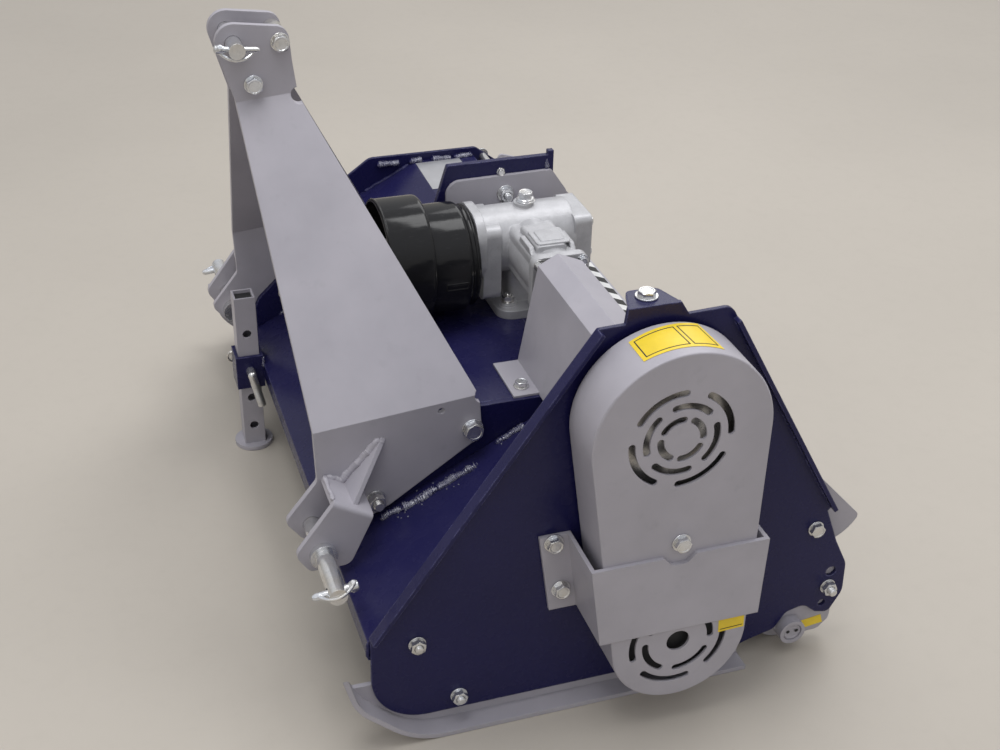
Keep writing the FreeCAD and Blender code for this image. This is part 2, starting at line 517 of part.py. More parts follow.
# ---------------------------------------------------------------- belt drive
drive = join(rod("x", SHAFT_Y, SHAFT_Z, SHAFT_R, GEAR_X + 70, PULLEY_X + PULLEY_W + 6),
             rod("x", SHAFT_Y, SHAFT_Z, PULLEY_TOP_R, PULLEY_X, PULLEY_X + PULLEY_W))
pieces["drive_shaft"] = drive
BLOCK_W = 24.0
BLOCK_R = SHAFT_R + 6.0
block = join(rod("x", SHAFT_Y, SHAFT_Z, BLOCK_R, X_IN - BLOCK_W, X_IN),
             box(TENS_X - TENS_R, TENS_X + TENS_R, TENS_Y - TENS_R, TENS_Y + TENS_R,
                 SHAFT_Z + SHAFT_R + 2, SHAFT_Z + BLOCK_R + 2))
pieces["shaft_bearing"] = cross_hole(block, SHAFT_Y, SHAFT_Z, SHAFT_R + RUN_FIT,
                                     X_IN - BLOCK_W, X_IN)


def capsule_solid(grow, x0, x1):
    """Solid round both pulleys: two circles and their common tangents."""
    r1, r2 = GUARD_R_TOP + grow, GUARD_R_LOW + grow
    c1, c2 = V(x0, SHAFT_Y + GUARD_SHIFT, SHAFT_Z), V(x0, ROTOR_Y + GUARD_SHIFT, ROTOR_Z)
    d = c2 - c1
    base = math.atan2(d.z, d.y)
    spread = math.acos((r1 - r2) / d.Length)
    na, nb = [V(0, math.cos(base + s * spread), math.sin(base + s * spread)) for s in (1, -1)]
    way = d * (1 / d.Length)
    w = Part.Wire([Part.Arc(c1 + nb * r1, c1 - way * r1, c1 + na * r1).toShape(),
                   Part.LineSegment(c1 + na * r1, c2 + na * r2).toShape(),
                   Part.Arc(c2 + na * r2, c2 + way * r2, c2 + nb * r2).toShape(),
                   Part.LineSegment(c2 + nb * r2, c1 + nb * r1).toShape()])
    return Part.Face(w).extrude(V(x1 - x0, 0, 0))


guard = capsule_solid(0, X_OUT + GUARD_GAP, GUARD_OUT_X)
rim = [e for e in guard.Edges if e.BoundBox.XMin > GUARD_OUT_X - 0.01]
guard = guard.makeFillet(GUARD_EDGE_R, rim)
guard = guard.cut(capsule_solid(-GUARD_T, X_OUT - 1, GUARD_OUT_X - GUARD_T))


def vent_ring(cy, cz, radii, arcs, width, sweep, turn):
    """Slots along arcs about (cy, cz): rows of radii, each with equal arcs."""
    out = []
    x0 = GUARD_OUT_X - 2 * GUARD_T
    for row, r in enumerate(radii):
        for i in range(arcs):
            a0 = math.radians(turn * row + 360.0 / arcs * i)
            a1 = a0 + math.radians(sweep)
            am = (a0 + a1) / 2

            def at(rad, ang, along=0.0):
                return V(x0, cy + rad * math.cos(ang) - along * math.sin(ang),
                         cz + rad * math.sin(ang) + along * math.cos(ang))
            ro, ri, h = r + width / 2, r - width / 2, width / 2
            w = Part.Wire([Part.Arc(at(ro, a0), at(ro, am), at(ro, a1)).toShape(),
                           Part.Arc(at(ro, a1), at(r, a1, h), at(ri, a1)).toShape(),
                           Part.Arc(at(ri, a1), at(ri, am), at(ri, a0)).toShape(),
                           Part.Arc(at(ri, a0), at(r, a0, -h), at(ro, a0)).toShape()])
            out.append(Part.Face(w).extrude(V(4 * GUARD_T, 0, 0)))
    return out


VENT_RADII = (24.0, 40.0, 56.0)
VENT_W = 8.0
vents = vent_ring(SHAFT_Y, SHAFT_Z, VENT_RADII, 4, VENT_W, 60.0, 45.0)
vents += vent_ring(ROTOR_Y, ROTOR_Z, VENT_RADII[1:], 4, VENT_W, 60.0, 45.0)
HUB_HOLE_R = 14.0
vents.append(rod("x", ROTOR_Y, ROTOR_Z, HUB_HOLE_R, GUARD_OUT_X - 10, GUARD_OUT_X + 10))
for cut in vents:
    guard = guard.cut(cut)
pieces["belt_guard"] = guard

STRAP_Z0, STRAP_Z1 = ROTOR_Z + STRAP_LOW, ROTOR_Z + STRAP_HIGH
STRAP_EAR = 38.0
guard_line = (GUARD_R_TOP - GUARD_R_LOW + ROTOR_Y - SHAFT_Y) / (SHAFT_Z - ROTOR_Z)


def strap_wire(z):
    """Strap's section at height z, its front side leaning with the guard."""
    y0 = ROTOR_Y + GUARD_SHIFT - GUARD_R_LOW - 14 - guard_line * (z - STRAP_Z0)
    y1 = ROTOR_Y + GUARD_SHIFT + GUARD_R_LOW + 6 + 0.02 * (z - STRAP_Z0)
    path = [(X_OUT, y0 - STRAP_EAR), (X_OUT, y0), (GUARD_OUT_X, y0), (GUARD_OUT_X, y1), (X_OUT, y1)]
    return Part.makePolygon([V(x, y, z) for x, y in path + offset_path(path, -STRAP_T)[::-1]
                             + path[:1]])


strap = Part.makeLoft([strap_wire(STRAP_Z0), strap_wire(STRAP_Z1)], True, True)
NOTCH_W, NOTCH_D = 40.0, 11.0
notch_y = POST_Y - 1
strap = strap.cut(slab([(notch_y - NOTCH_W / 2, STRAP_Z1 + 1),
                        (notch_y - NOTCH_W / 2 + NOTCH_D, STRAP_Z1 - NOTCH_D, 8),
                        (notch_y + NOTCH_W / 2 - NOTCH_D, STRAP_Z1 - NOTCH_D, 8),
                        (notch_y + NOTCH_W / 2, STRAP_Z1 + 1)],
                       "yz", GUARD_OUT_X, GUARD_OUT_X + 2 * STRAP_T))
pieces["guard_strap"] = strap

COVER_T = 3.0
COVER_X0 = OUT_FLANGE_X + 11
cover_path = [(SHAFT_Y - 57, DECK_Z), (SHAFT_Y - 34, SHAFT_Z + 34), (SHAFT_Y - 9, SHAFT_Z + 47),
              (SHAFT_Y + 23, SHAFT_Z + 33), (SHAFT_Y + 47, DECK_Z)]
cover = fold(cover_path, -COVER_T, "yz", COVER_X0, X_IN)
foot_f = box(COVER_X0, BRACKET_X - BRACKET_T + 4, SHAFT_Y - 89, SHAFT_Y - 56, DECK_Z,
             DECK_Z + COVER_T)
foot_r = box(COVER_X0, BRACKET_X, SHAFT_Y + 45, SHAFT_Y + 75, DECK_Z, DECK_Z + COVER_T)
cover = cover.cut(box(COVER_X0 - 1, X_OUT, SHAFT_Y - 100, SHAFT_Y + 100, DECK_Z - 10, DECK_Z))
cover = cover.cut(rod("z", TENS_X, TENS_Y, TENS_R + 3, DECK_Z + SHAFT_RISE, TAB_Z))
pieces["shaft_cover"] = join(cover, foot_f, foot_r)

# ---------------------------------------------------------------------- rotor
half = X_IN - ROTOR_GAP
CAP_T = 12.0
LUG_T = 8.0
LUG_R = TUBE_R + 21        # flail bolt circle
FLAIL_BOLT_R = 6.0
parts = [tube("x", ROTOR_Y, ROTOR_Z, TUBE_R, TUBE_R - TUBE_WALL, -half, half),
         rod("x", ROTOR_Y, ROTOR_Z, TUBE_R, -half, -half + CAP_T),
         rod("x", ROTOR_Y, ROTOR_Z, TUBE_R, half - CAP_T, half),
         rod("x", ROTOR_Y, ROTOR_Z, JOURNAL_R, -X_OUT - 14, -half + 20),
         rod("x", ROTOR_Y, ROTOR_Z, JOURNAL_R, half - 20, PULLEY_X + PULLEY_W + 6)]


def turned(shape, deg):
    s = shape.copy()
    s.rotate(V(0, ROTOR_Y, ROTOR_Z), V(1, 0, 0), deg)
    return s


def flail(x):
    """Lug, bolt and a Y flail hanging out to the tip circle."""
    foot_z, bolt_z, tip = ROTOR_Z + TUBE_R - 4, ROTOR_Z + LUG_R, ROTOR_Z + TIP_R - 4
    lug = slab([(ROTOR_Y - 16, foot_z), (ROTOR_Y - 12, bolt_z + 10, 10),
                (ROTOR_Y + 12, bolt_z + 10, 10), (ROTOR_Y + 16, foot_z)],
               "yz", x - LUG_T / 2, x + LUG_T / 2)
    out = [lug, rod("x", ROTOR_Y, bolt_z, FLAIL_BOLT_R, x - LUG_T / 2 - 10, x + LUG_T / 2 + 10)]
    for s in (-1, 1):
        near, far, edge = x + s * LUG_T / 2, x + s * (LUG_T / 2 + 7), x + s * FLAIL_W / 2
        pts = [(near, bolt_z - 10), (near, bolt_z + 14), (edge - s * 4, tip),
               (edge, tip - 2), (far, bolt_z + 12), (far, bolt_z - 10)]
        out.append(slab(pts, "xz", ROTOR_Y - 14, ROTOR_Y + 14))
    return out[0].fuse(out[1:])


END_ROOM = 30.0
pitch = (2 * half - 2 * END_ROOM) / (FLAIL_STATIONS - 1)
for i in range(FLAIL_STATIONS):
    one = flail(-half + END_ROOM + pitch * i)
    turn = 360.0 / FLAIL_ROWS * (i % FLAIL_ROWS) + (180.0 / FLAIL_ROWS) * (i // FLAIL_ROWS % 2)
    parts.append(turned(one, turn))
    parts.append(turned(one, turn + 180))
pieces["rotor"] = parts[0].fuse(parts[1:])
pieces["rotor_pulley"] = tube("x", ROTOR_Y, ROTOR_Z, PULLEY_LOW_R, JOURNAL_R,
                              PULLEY_X, PULLEY_X + PULLEY_W)


def rotor_bearing(reach, cap_r, cap_t, through):
    """Flanged housing on the outer face of a side plate, with its spigot in the plate."""
    half_w = JOURNAL_R + 28
    shape = join(slab(around(ROTOR_Y, ROTOR_Z, half_w, half_w, 14), "yz", X_OUT, X_OUT + reach),
                 rod("x", ROTOR_Y, ROTOR_Z, cap_r, X_OUT, X_OUT + cap_t),
                 rod("x", ROTOR_Y, ROTOR_Z, ROTOR_HOLE_R, X_IN, X_OUT))
    return shape.cut(rod("x", ROTOR_Y, ROTOR_Z, JOURNAL_R + RUN_FIT, X_IN - 1, X_OUT + through))


pieces["rotor_bearing_right"] = mirror(rotor_bearing(12, JOURNAL_R + 18, 26, 20))
pieces["rotor_bearing_left"] = rotor_bearing(BEARING_T, JOURNAL_R + 12, BEARING_T + 1, 30)

# serrated counter bar under the front of the deck
COMB_DROP, COMB_T = 34.0, 10.0
comb_y = ROTOR_Y - TIP_R - 21
drop = -SHEET * math.hypot(1, SLOPE)
comb_low = slope_z(comb_y) - COMB_DROP
pieces["counter_bar"] = slab([(comb_y, comb_low), above(comb_y, drop),
                              above(comb_y + COMB_T, drop), (comb_y + COMB_T, comb_low)],
                             "yz", -X_IN, X_IN)

# ----------------------------------------------------------------- rear hood
HOOD_X = X_IN - HOOD_GAP
CHEEK_T = 4.0
hood_path = [(HINGE_Y + 16, HINGE_Z + 1), (HINGE_Y + 34, HINGE_Z - 2), (HINGE_Y + 123, HINGE_Z - 167)]
hood = fold(hood_path, -HOOD_T, "yz", -HOOD_X, HOOD_X)
cheek = slab(shifted([(16, -2), (23, 10, 6), (58, -1, 60), (127, -54, 60), (196, -129, 8),
                      (178, -157, 60), (140, -165, 30), (123, -167), (34, -19)],
                     HINGE_Y, HINGE_Z),
             "yz", HOOD_X - CHEEK_T, HOOD_X)
knuckles = []
for x in [k * (HOOD_X - 43) for k in (-1, -0.34, 0.34, 1)]:
    knuckles.append(tube("x", HINGE_Y, HINGE_Z, KNUCKLE_R, HINGE_R + 0.08,
                         x - KNUCKLE_W / 2, x + KNUCKLE_W / 2))
    knuckles.append(box(x - KNUCKLE_W / 2, x + KNUCKLE_W / 2, HINGE_Y + HINGE_R + 1,
                        HINGE_Y + 20, HINGE_Z - 3.5, HINGE_Z + 1))
pieces["rear_hood"] = join(hood, cheek, mirror(cheek), *knuckles)
pieces["hinge_rod"] = rod("x", HINGE_Y, HINGE_Z, HINGE_R, -X_IN, X_IN)

# --------------------------------------------------------------- rear roller
rhalf = X_IN - ROLL_GAP
ROLL_ARM_T = 10.0
AXLE_END = X_OUT + BOSS_OUT - 3
pieces["roller"] = join(
    tube("x", ROLL_Y, ROLL_Z, ROLL_R, ROLL_R - ROLL_WALL, -rhalf, rhalf),
    rod("x", ROLL_Y, ROLL_Z, ROLL_R, -rhalf, -rhalf + 8),
    rod("x", ROLL_Y, ROLL_Z, ROLL_R, rhalf - 8, rhalf),
    rod("x", ROLL_Y, ROLL_Z, ROLL_AXLE_R, -AXLE_END, AXLE_END))
roll_arm = slab(shifted([(-19, -4, 14), (-18, 24, 16), (28, 56, 12), (36, 97, 10), (60, 97, 10),
                         (58, -2, 12), (44, -16, 10), (0, -18, 17)], ROLL_Y, ROLL_Z),
                "yz", X_IN - ROLL_ARM_T, X_IN)
roll_arm = join(roll_arm, rod("x", ROLL_Y, ROLL_Z, BOSS_R, X_IN - ROLL_ARM_T, X_OUT + BOSS_OUT))
roll_arm = cross_hole(roll_arm, ROLL_Y, ROLL_Z, ROLL_AXLE_R + RUN_FIT, X_IN - ROLL_ARM_T,
                      X_OUT + BOSS_OUT)
for y, z, r in ADJUST_HOLES[1:2]:
    roll_arm = cross_hole(roll_arm, y, z, r, X_IN - ROLL_ARM_T, X_IN)
pieces["roller_arm_left"] = roll_arm
pieces["roller_arm_right"] = mirror(roll_arm)
SCRAPER_T = 4.0
pieces["scraper_bar"] = fold(shifted([(-43, 13), (-39, 34), (-59, 60)], ROLL_Y, ROLL_Z),
                             SCRAPER_T, "yz", -X_IN, X_IN)

# --------------------------------------------------------------- parking stand
s = STAND_TUBE / 2
si = s + SLIDE_FIT
so = si + SLEEVE_T
SLEEVE_Z0, SLEEVE_Z1 = FRONT_Z - 37, FRONT_Z + 15
STAND_PIN_Z = FRONT_Z - 8
STAND_HOLE_PITCH = 48.5
FOOT_R, PAD_T = 28.0, 6.0


def square(half_w, z0, z1):
    return box(STAND_X - half_w, STAND_X + half_w, STAND_Y - half_w, STAND_Y + half_w, z0, z1)


sleeve = square(so, SLEEVE_Z0, SLEEVE_Z1).cut(square(si, SLEEVE_Z0 - 1, SLEEVE_Z1 + 1))
pieces["stand_sleeve"] = cross_hole(sleeve, STAND_Y, STAND_PIN_Z, STAND_PIN_R,
                                    STAND_X - 2 * so, STAND_X + 2 * so)
leg = square(s, PAD_T, STAND_TOP).cut(square(s - STAND_WALL, PAD_T + 4, STAND_TOP + 1))
leg = leg.fuse(rod("z", STAND_X, STAND_Y, FOOT_R, 0, PAD_T))
for z in (STAND_PIN_Z - 2 * STAND_HOLE_PITCH, STAND_PIN_Z - STAND_HOLE_PITCH, STAND_PIN_Z,
          STAND_PIN_Z + 1.2 * STAND_HOLE_PITCH):
    leg = cross_hole(leg, STAND_Y, z, STAND_PIN_R, STAND_X - 2 * s, STAND_X + 2 * s)
pieces["stand_leg"] = leg
PIN_IN = STAND_X + s + 0.4
PIN_BEND = STAND_X + so + 14
HANDLE_LEN, HANDLE_LEAN = 53.0, 0.21
pieces["stand_pin"] = join(
    rod("x", STAND_Y, STAND_PIN_Z, STAND_PIN_R, PIN_IN, PIN_BEND),
    Part.makeCylinder(STAND_PIN_R, HANDLE_LEN, V(PIN_BEND, STAND_Y, STAND_PIN_Z),
                      V(0, HANDLE_LEAN, -1)),
    Part.makeSphere(STAND_PIN_R, V(PIN_BEND, STAND_Y, STAND_PIN_Z)))

# ------------------------------------------------------------ belt tensioner
pieces["tension_bolt"] = join(rod("z", TENS_X, TENS_Y, TENS_R, SHAFT_Z + BLOCK_R + 2, TAB_Z + 2),
                              rod("z", TENS_X, TENS_Y, TENS_R + 4, TAB_Z, TAB_Z + 8))

# -------------------------------------------------------------------- export
os.makedirs("parts", exist_ok=True)
for name, shape in pieces.items():
    shape.exportStep("parts/%s.step" % name)
    ext = shape.BoundBox
    print("%-22s valid=%s solids=%d vol=%.0f  x %.0f..%.0f  y %.0f..%.0f  z %.0f..%.0f" % (
        name, shape.isValid(), len(shape.Solids), shape.Volume / 1000.0,
        ext.XMin, ext.XMax, ext.YMin, ext.YMax, ext.ZMin, ext.ZMax))
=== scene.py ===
"""Compact flail mulcher for a three-point linkage.

The solids are loaded as a fixed frame; this adds paint, fasteners, welds,
stickers and small parts to them.  Metres, +X the belt end, -Y the tractor
side, +Y the rear, Z up.
"""
import json
import math
import random

import bmesh
import bpy
from bpy.props import FloatProperty, FloatVectorProperty, PointerProperty
from bpy.types import Operator, Panel, PropertyGroup
from mathutils import Matrix, Vector


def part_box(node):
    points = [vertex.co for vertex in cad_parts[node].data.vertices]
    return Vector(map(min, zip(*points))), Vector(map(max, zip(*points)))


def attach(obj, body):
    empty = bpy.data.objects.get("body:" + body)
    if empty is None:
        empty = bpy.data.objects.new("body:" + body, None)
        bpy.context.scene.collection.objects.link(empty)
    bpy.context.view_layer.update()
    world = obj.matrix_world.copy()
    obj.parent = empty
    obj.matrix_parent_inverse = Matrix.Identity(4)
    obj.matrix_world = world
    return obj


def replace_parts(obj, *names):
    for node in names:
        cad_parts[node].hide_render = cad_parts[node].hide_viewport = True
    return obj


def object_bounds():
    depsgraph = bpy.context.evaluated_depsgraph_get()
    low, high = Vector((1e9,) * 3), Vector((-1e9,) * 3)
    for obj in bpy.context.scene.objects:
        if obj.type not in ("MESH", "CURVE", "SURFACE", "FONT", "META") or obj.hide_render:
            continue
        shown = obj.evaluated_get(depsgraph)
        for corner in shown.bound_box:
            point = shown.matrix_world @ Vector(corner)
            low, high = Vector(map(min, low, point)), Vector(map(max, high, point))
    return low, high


bl_info = {
    "name": "Flail mulcher",
    "version": (1, 0, 0),
    "blender": (4, 5, 0),
    "location": "View3D > Sidebar > Mulcher",
    "description": "Paint, fasteners, welds and small parts of a compact flail mulcher",
    "category": "Object",
}

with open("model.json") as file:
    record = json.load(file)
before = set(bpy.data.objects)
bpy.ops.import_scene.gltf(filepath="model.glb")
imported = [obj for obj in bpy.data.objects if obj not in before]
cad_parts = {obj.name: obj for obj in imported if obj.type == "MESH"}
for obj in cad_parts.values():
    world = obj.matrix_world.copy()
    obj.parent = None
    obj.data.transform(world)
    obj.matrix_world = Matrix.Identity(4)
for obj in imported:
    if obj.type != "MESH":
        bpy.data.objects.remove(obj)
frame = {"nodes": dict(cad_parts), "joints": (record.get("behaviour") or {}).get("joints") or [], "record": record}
cad_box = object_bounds()
NODES = frame["nodes"]
JOINT_AT = {j["name"]: Vector(j["pos_m"]) for j in frame["joints"] if j.get("pos_m")}
MOUNT_AT = {m["name"]: Vector(m["pos_m"]) for m in frame["record"]["mounts"]}

SIDE = Vector((1, 0, 0))
REAR = Vector((0, 1, 0))
UP = Vector((0, 0, 1))

# places that the solids and the joints give
SHAFT_AT = JOINT_AT["drive_spin"]
ROTOR_AT = JOINT_AT["rotor_spin"]
INPUT_AT = JOINT_AT["input_spin"]
ROLLER_AT = JOINT_AT["roller_spin"]
HINGE_AT = JOINT_AT["hood_hinge"]
LOWER_AT = MOUNT_AT["lower_link_left"]
TOP_AT = MOUNT_AT["top_link"]
PLATE_OUT = -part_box("side_plate_right")[0].x      # outer face of the side plates
PLATE_IN = -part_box("side_plate_right")[1].x
TAB_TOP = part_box("side_plate_left")[1].z
GUARD_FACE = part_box("belt_guard")[1].x
ARM_OUT = LOWER_AT.x - 0.104                      # outer face of the tower's legs
DECK_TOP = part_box("platform")[1].z
NOSE_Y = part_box("deck_sheet")[0].y                # front fold of the sloping deck
NOSE_Z = LOWER_AT.z - 0.038
DECK_SLOPE = (DECK_TOP - NOSE_Z) / 0.308
OFF_SLOPE = Vector((0, -DECK_SLOPE, 1)).normalized()

CORNERS = [(a, b) for a in (-1, 1) for b in (-1, 1)]


# --- settings
def colour(name, default, words):
    return FloatVectorProperty(name=name, description=words, default=default, size=3,
                               min=0.0, max=1.0, subtype="COLOR")


def length(name, default, words):
    return FloatProperty(name=name, description=words, default=default, min=0.0,
                         unit="LENGTH", precision=4)


class PaintSettings(PropertyGroup):
    grey: colour("Grey paint", (0.40, 0.385, 0.43), "Powder coat of the tower and the guard")
    navy: colour("Navy paint", (0.012, 0.0115, 0.064), "Gloss paint of the hull")
    cast: colour("Casting", (0.50, 0.50, 0.52), "Silver paint of the gearbox casting")
    zinc: colour("Zinc plate", (0.74, 0.76, 0.80), "Zinc plated fasteners")
    plastic: colour("Plastic", (0.012, 0.012, 0.013), "Black guard bell")
    iron: colour("Rotor paint", (0.05, 0.05, 0.055), "Dark paint of the rotor")
    yellow: colour("Yellow", (0.85, 0.62, 0.03), "Blank yellow stickers")
    grime: FloatProperty(name="Grime", description="How much dust lies on the paint",
                         default=0.35, min=0.0, max=1.0, subtype="FACTOR")


class BoltSettings(PropertyGroup):
    across: length("Across flats", 0.0162, "Width of the plate bolts' heads")
    head: length("Head height", 0.0068, "Height of the plate bolts' heads")
    washer: length("Washer radius", 0.0102, "Outer radius of the plate bolts' washers")


class StageSettings(PropertyGroup):
    floor: colour("Floor", (0.49, 0.45, 0.395), "Plain pale floor")
    focal: FloatProperty(name="Focal length", description="Lens of the camera in millimetres",
                         default=52.12, min=10.0, max=200.0)
    azimuth: FloatProperty(name="Azimuth", default=71.0,
                           description="Camera's turn round the machine in degrees")
    elevation: FloatProperty(name="Elevation", description="Camera's height in degrees",
                             default=31.2)
    roll: FloatProperty(name="Roll", description="Camera's tilt in degrees", default=1.3)
    distance: length("Distance", 1.9819, "Camera to the point it looks at")
    look_at: FloatVectorProperty(name="Look at", description="Point the camera looks at",
                                 default=(0.0510, 0.0111, 0.1991), size=3,
                                 subtype="TRANSLATION", unit="LENGTH")


# --- shading
class Shade:
    """A shader socket. Arithmetic on it adds Math nodes; node() adds any other node."""

    def __init__(self, tree, out=None):
        self.tree, self.out = tree, out

    def node(self, kind, settings=None, inputs=None, out=0):
        """New node: its settings first, then a value or a link for each input given."""
        made = self.tree.nodes.new(kind)
        for key, value in (settings or {}).items():
            setattr(made, key, value)
        for key, value in (inputs or {}).items():
            self.plug(made.inputs[key], value)
        return Shade(self.tree, made.outputs[out])

    def plug(self, socket, value):
        """Links a Shade to a socket, or sets the socket to a plain value."""
        if isinstance(value, Shade):
            self.tree.links.new(value.out, socket)
        else:
            socket.default_value = value

    def maths(self, operation, *values):
        return self.node("ShaderNodeMath", {"operation": operation}, dict(enumerate(values)))

    def __add__(self, other):
        return self.maths("ADD", self, other)

    __radd__ = __add__

    def __sub__(self, other):
        return self.maths("SUBTRACT", self, other)

    def __rsub__(self, other):
        return self.maths("SUBTRACT", other, self)

    def __mul__(self, other):
        return self.maths("MULTIPLY", self, other)

    __rmul__ = __mul__

    def ramp(self, low, high):
        """0 below low, 1 above high, straight between."""
        return self.node("ShaderNodeMapRange", {"clamp": True},
                         {"Value": self, "From Min": low, "From Max": high})

    def blend(self, first, second):
        """Colour mix with this as the factor."""
        ends = [c if isinstance(c, Shade) else tuple(c)[:3] + (1.0,) for c in (first, second)]
        return self.node("ShaderNodeMix", {"data_type": "RGBA"},
                         {0: self, 6: ends[0], 7: ends[1]}, out=2)

    def shades(self, base, dark, light, low=0.3, high=0.7):
        """From a darker to a lighter tint of base as this goes from low to high."""
        return self.ramp(low, high).blend(tinted(base, dark), tinted(base, light))

    def over(self, body, low, high, amount, top):
        """Body with some of the colour top on it, where this goes from low to high."""
        return (self.ramp(low, high) * amount).blend(body, top)

    def noise(self, scale, detail=3.0, rough=0.55, lengthen=None):
        """Noise on the object's own coordinates."""
        where = self.node("ShaderNodeTexCoord", out="Object")
        if lengthen:
            where = self.node("ShaderNodeMapping", None, {"Vector": where, "Scale": lengthen})
        return self.node("ShaderNodeTexNoise", None, {"Vector": where, "Scale": scale,
                                                      "Detail": detail, "Roughness": rough})

    def bump(self, strength, distance, height, **normal):
        """Bumped normal; Normal= gives the one it starts from."""
        return self.node("ShaderNodeBump", None, {"Strength": strength, "Distance": distance,
                                                  "Height": height, **normal})


def tinted(rgb, k):
    return tuple(min(1.0, c * k) for c in rgb)


def new_finish(name):
    """An empty material: (material, a bare Shade on its tree, its surface shader)."""
    old = bpy.data.materials.get(name)
    if old:
        bpy.data.materials.remove(old)
    finish = bpy.data.materials.new(name)
    finish.use_nodes = True
    return finish, Shade(finish.node_tree), finish.node_tree.nodes["Principled BSDF"]


def feed(start, surface, **sockets):
    """Sets or links the surface's sockets by name, underscores for spaces."""
    for key, value in sockets.items():
        start.plug(surface.inputs[key.replace("_", " ")], value)


def edge_line(start, radius):
    """1 along sharp edges within radius, 0 on flats; and the rounded normal."""
    round_normal = start.node("ShaderNodeBevel", {"samples": 4}, {"Radius": radius})
    flat_normal = start.node("ShaderNodeNewGeometry", out="Normal")
    along = start.node("ShaderNodeVectorMath", {"operation": "DOT_PRODUCT"},
                       {0: round_normal, 1: flat_normal}, out="Value")
    return (1.0 - along).ramp(0.02, 0.25), round_normal


def painted(name, base, rough, coat, peel, chip_and_highlight_colour, chip_and_highlight_amount, dust, gloss, round_off):
    """Painted steel: orange peel, faint mottling, settled dust, and lighter edges: patchy worn chips with an even
    painted highlight along every edge.
    """
    finish, start, surface = new_finish(name)
    edge, round_normal = edge_line(start, round_off)
    broad = start.noise(7.0, 4.0, 0.6)
    middle = start.noise(60.0, 3.0, 0.5)
    fine = start.noise(900.0, 2.0, 0.6)
    mottled = broad.shades(base, 0.90, 1.08)
    mottled = middle.over(mottled, 0.62, 0.78, 0.16, tinted(base, 0.6))
    up = start.node("ShaderNodeSeparateXYZ", None,
                    {0: start.node("ShaderNodeNewGeometry", out="Normal")}, out="Z")
    dusty = up.ramp(0.25, 1.0) * broad.ramp(0.42, 0.75) * (0.35 + 0.65 * middle) * dust
    dirt = dusty.blend(mottled, (0.42, 0.39, 0.34))
    patchy = fine.ramp(0.40, 0.62) * start.noise(45.0, 2.0).ramp(0.45, 0.62)
    # edges lightened: the patchy part is worn paint, the even part along every edge is a painted highlight
    chip_and_highlight_mask = edge * (0.18 + patchy) * chip_and_highlight_amount
    feed(start, surface, Base_Color=chip_and_highlight_mask.blend(dirt, chip_and_highlight_colour),
         Roughness=rough + middle * 0.10 + dusty * 0.3,
         Normal=start.bump(peel, 0.0004, fine + middle * 0.8, Normal=round_normal),
         Coat_Weight=coat, Coat_Roughness=0.12, Metallic=0.0, Specular_IOR_Level=gloss)
    return finish


def plated(name, base, rough, scratch=0.2):
    """Zinc plate: bright metal with a cloudy, faintly warm and cool bloom."""
    finish, start, surface = new_finish(name)
    edge, round_normal = edge_line(start, 0.0006)
    cloud = start.noise(220.0, 3.0, 0.6)
    warmed = (base[0] * 0.92, base[1] * 0.86, base[2] * 0.76)
    body = start.noise(35.0, 2.0, 0.5).ramp(0.35, 0.7).blend(tinted(base, 1.0), warmed)
    body = cloud.over(body, 0.45, 0.8, 0.45, tinted(base, 0.62))
    # edges lighter: a painted highlight
    body = (edge * 0.5).blend(body, tinted(base, 1.35))
    feed(start, surface, Base_Color=body, Roughness=rough + cloud * 0.14, Metallic=0.84,
         Normal=start.bump(scratch, 0.0002, start.noise(1500.0, 2.0), Normal=round_normal))
    return finish


def cast_paint(name, base, rough):
    """Silver paint on a sand casting: coarse skin with darker specks, and edges lightened as a painted highlight.
    """
    finish, start, surface = new_finish(name)
    edge, round_normal = edge_line(start, 0.0025)
    skin = start.noise(420.0, 4.0, 0.65)
    lump = start.noise(60.0, 3.0, 0.6)
    body = lump.shades(base, 0.84, 1.03, 0.3, 0.75)
    body = skin.over(body, 0.55, 0.8, 0.30, tinted(base, 0.55))
    # edges lighter: a painted highlight
    body = (edge * 0.6).blend(body, tinted(base, 1.5))
    feed(start, surface, Base_Color=body, Roughness=rough + skin * 0.15, Metallic=0.25,
         Normal=start.bump(0.45, 0.0006, skin + lump * 1.5, Normal=round_normal))
    return finish


def moulded(name, base, rough):
    """Glossy moulded plastic: flow ripples and fine scuffs."""
    finish, start, surface = new_finish(name)
    _, round_normal = edge_line(start, 0.0015)
    ripple = start.noise(28.0, 2.0, 0.4)
    scuff = start.noise(500.0, 3.0, 0.7, (1.0, 0.15, 1.0))
    body = scuff.over(base, 0.62, 0.8, 0.35, (0.06, 0.06, 0.062))
    feed(start, surface, Base_Color=body, Roughness=rough + scuff.ramp(0.5, 0.8) * 0.18,
         Normal=start.bump(0.18, 0.0006, ripple * 3.0 + scuff * 0.3, Normal=round_normal),
         Specular_IOR_Level=0.28)
    return finish


def flat_finish(name, base, rough, metallic=0.0):
    """Printed film or rubber: faint print grain and soft sheen."""
    finish, start, surface = new_finish(name)
    grain = start.noise(700.0, 2.0, 0.6)
    body = start.noise(30.0, 3.0, 0.6).shades(base, 0.9, 1.05)
    body = grain.over(body, 0.55, 0.8, 0.25, tinted(base, 0.7))
    feed(start, surface, Base_Color=body, Roughness=rough + grain * 0.1,
         Metallic=metallic, Normal=start.bump(0.1, 0.0002, grain))
    return finish


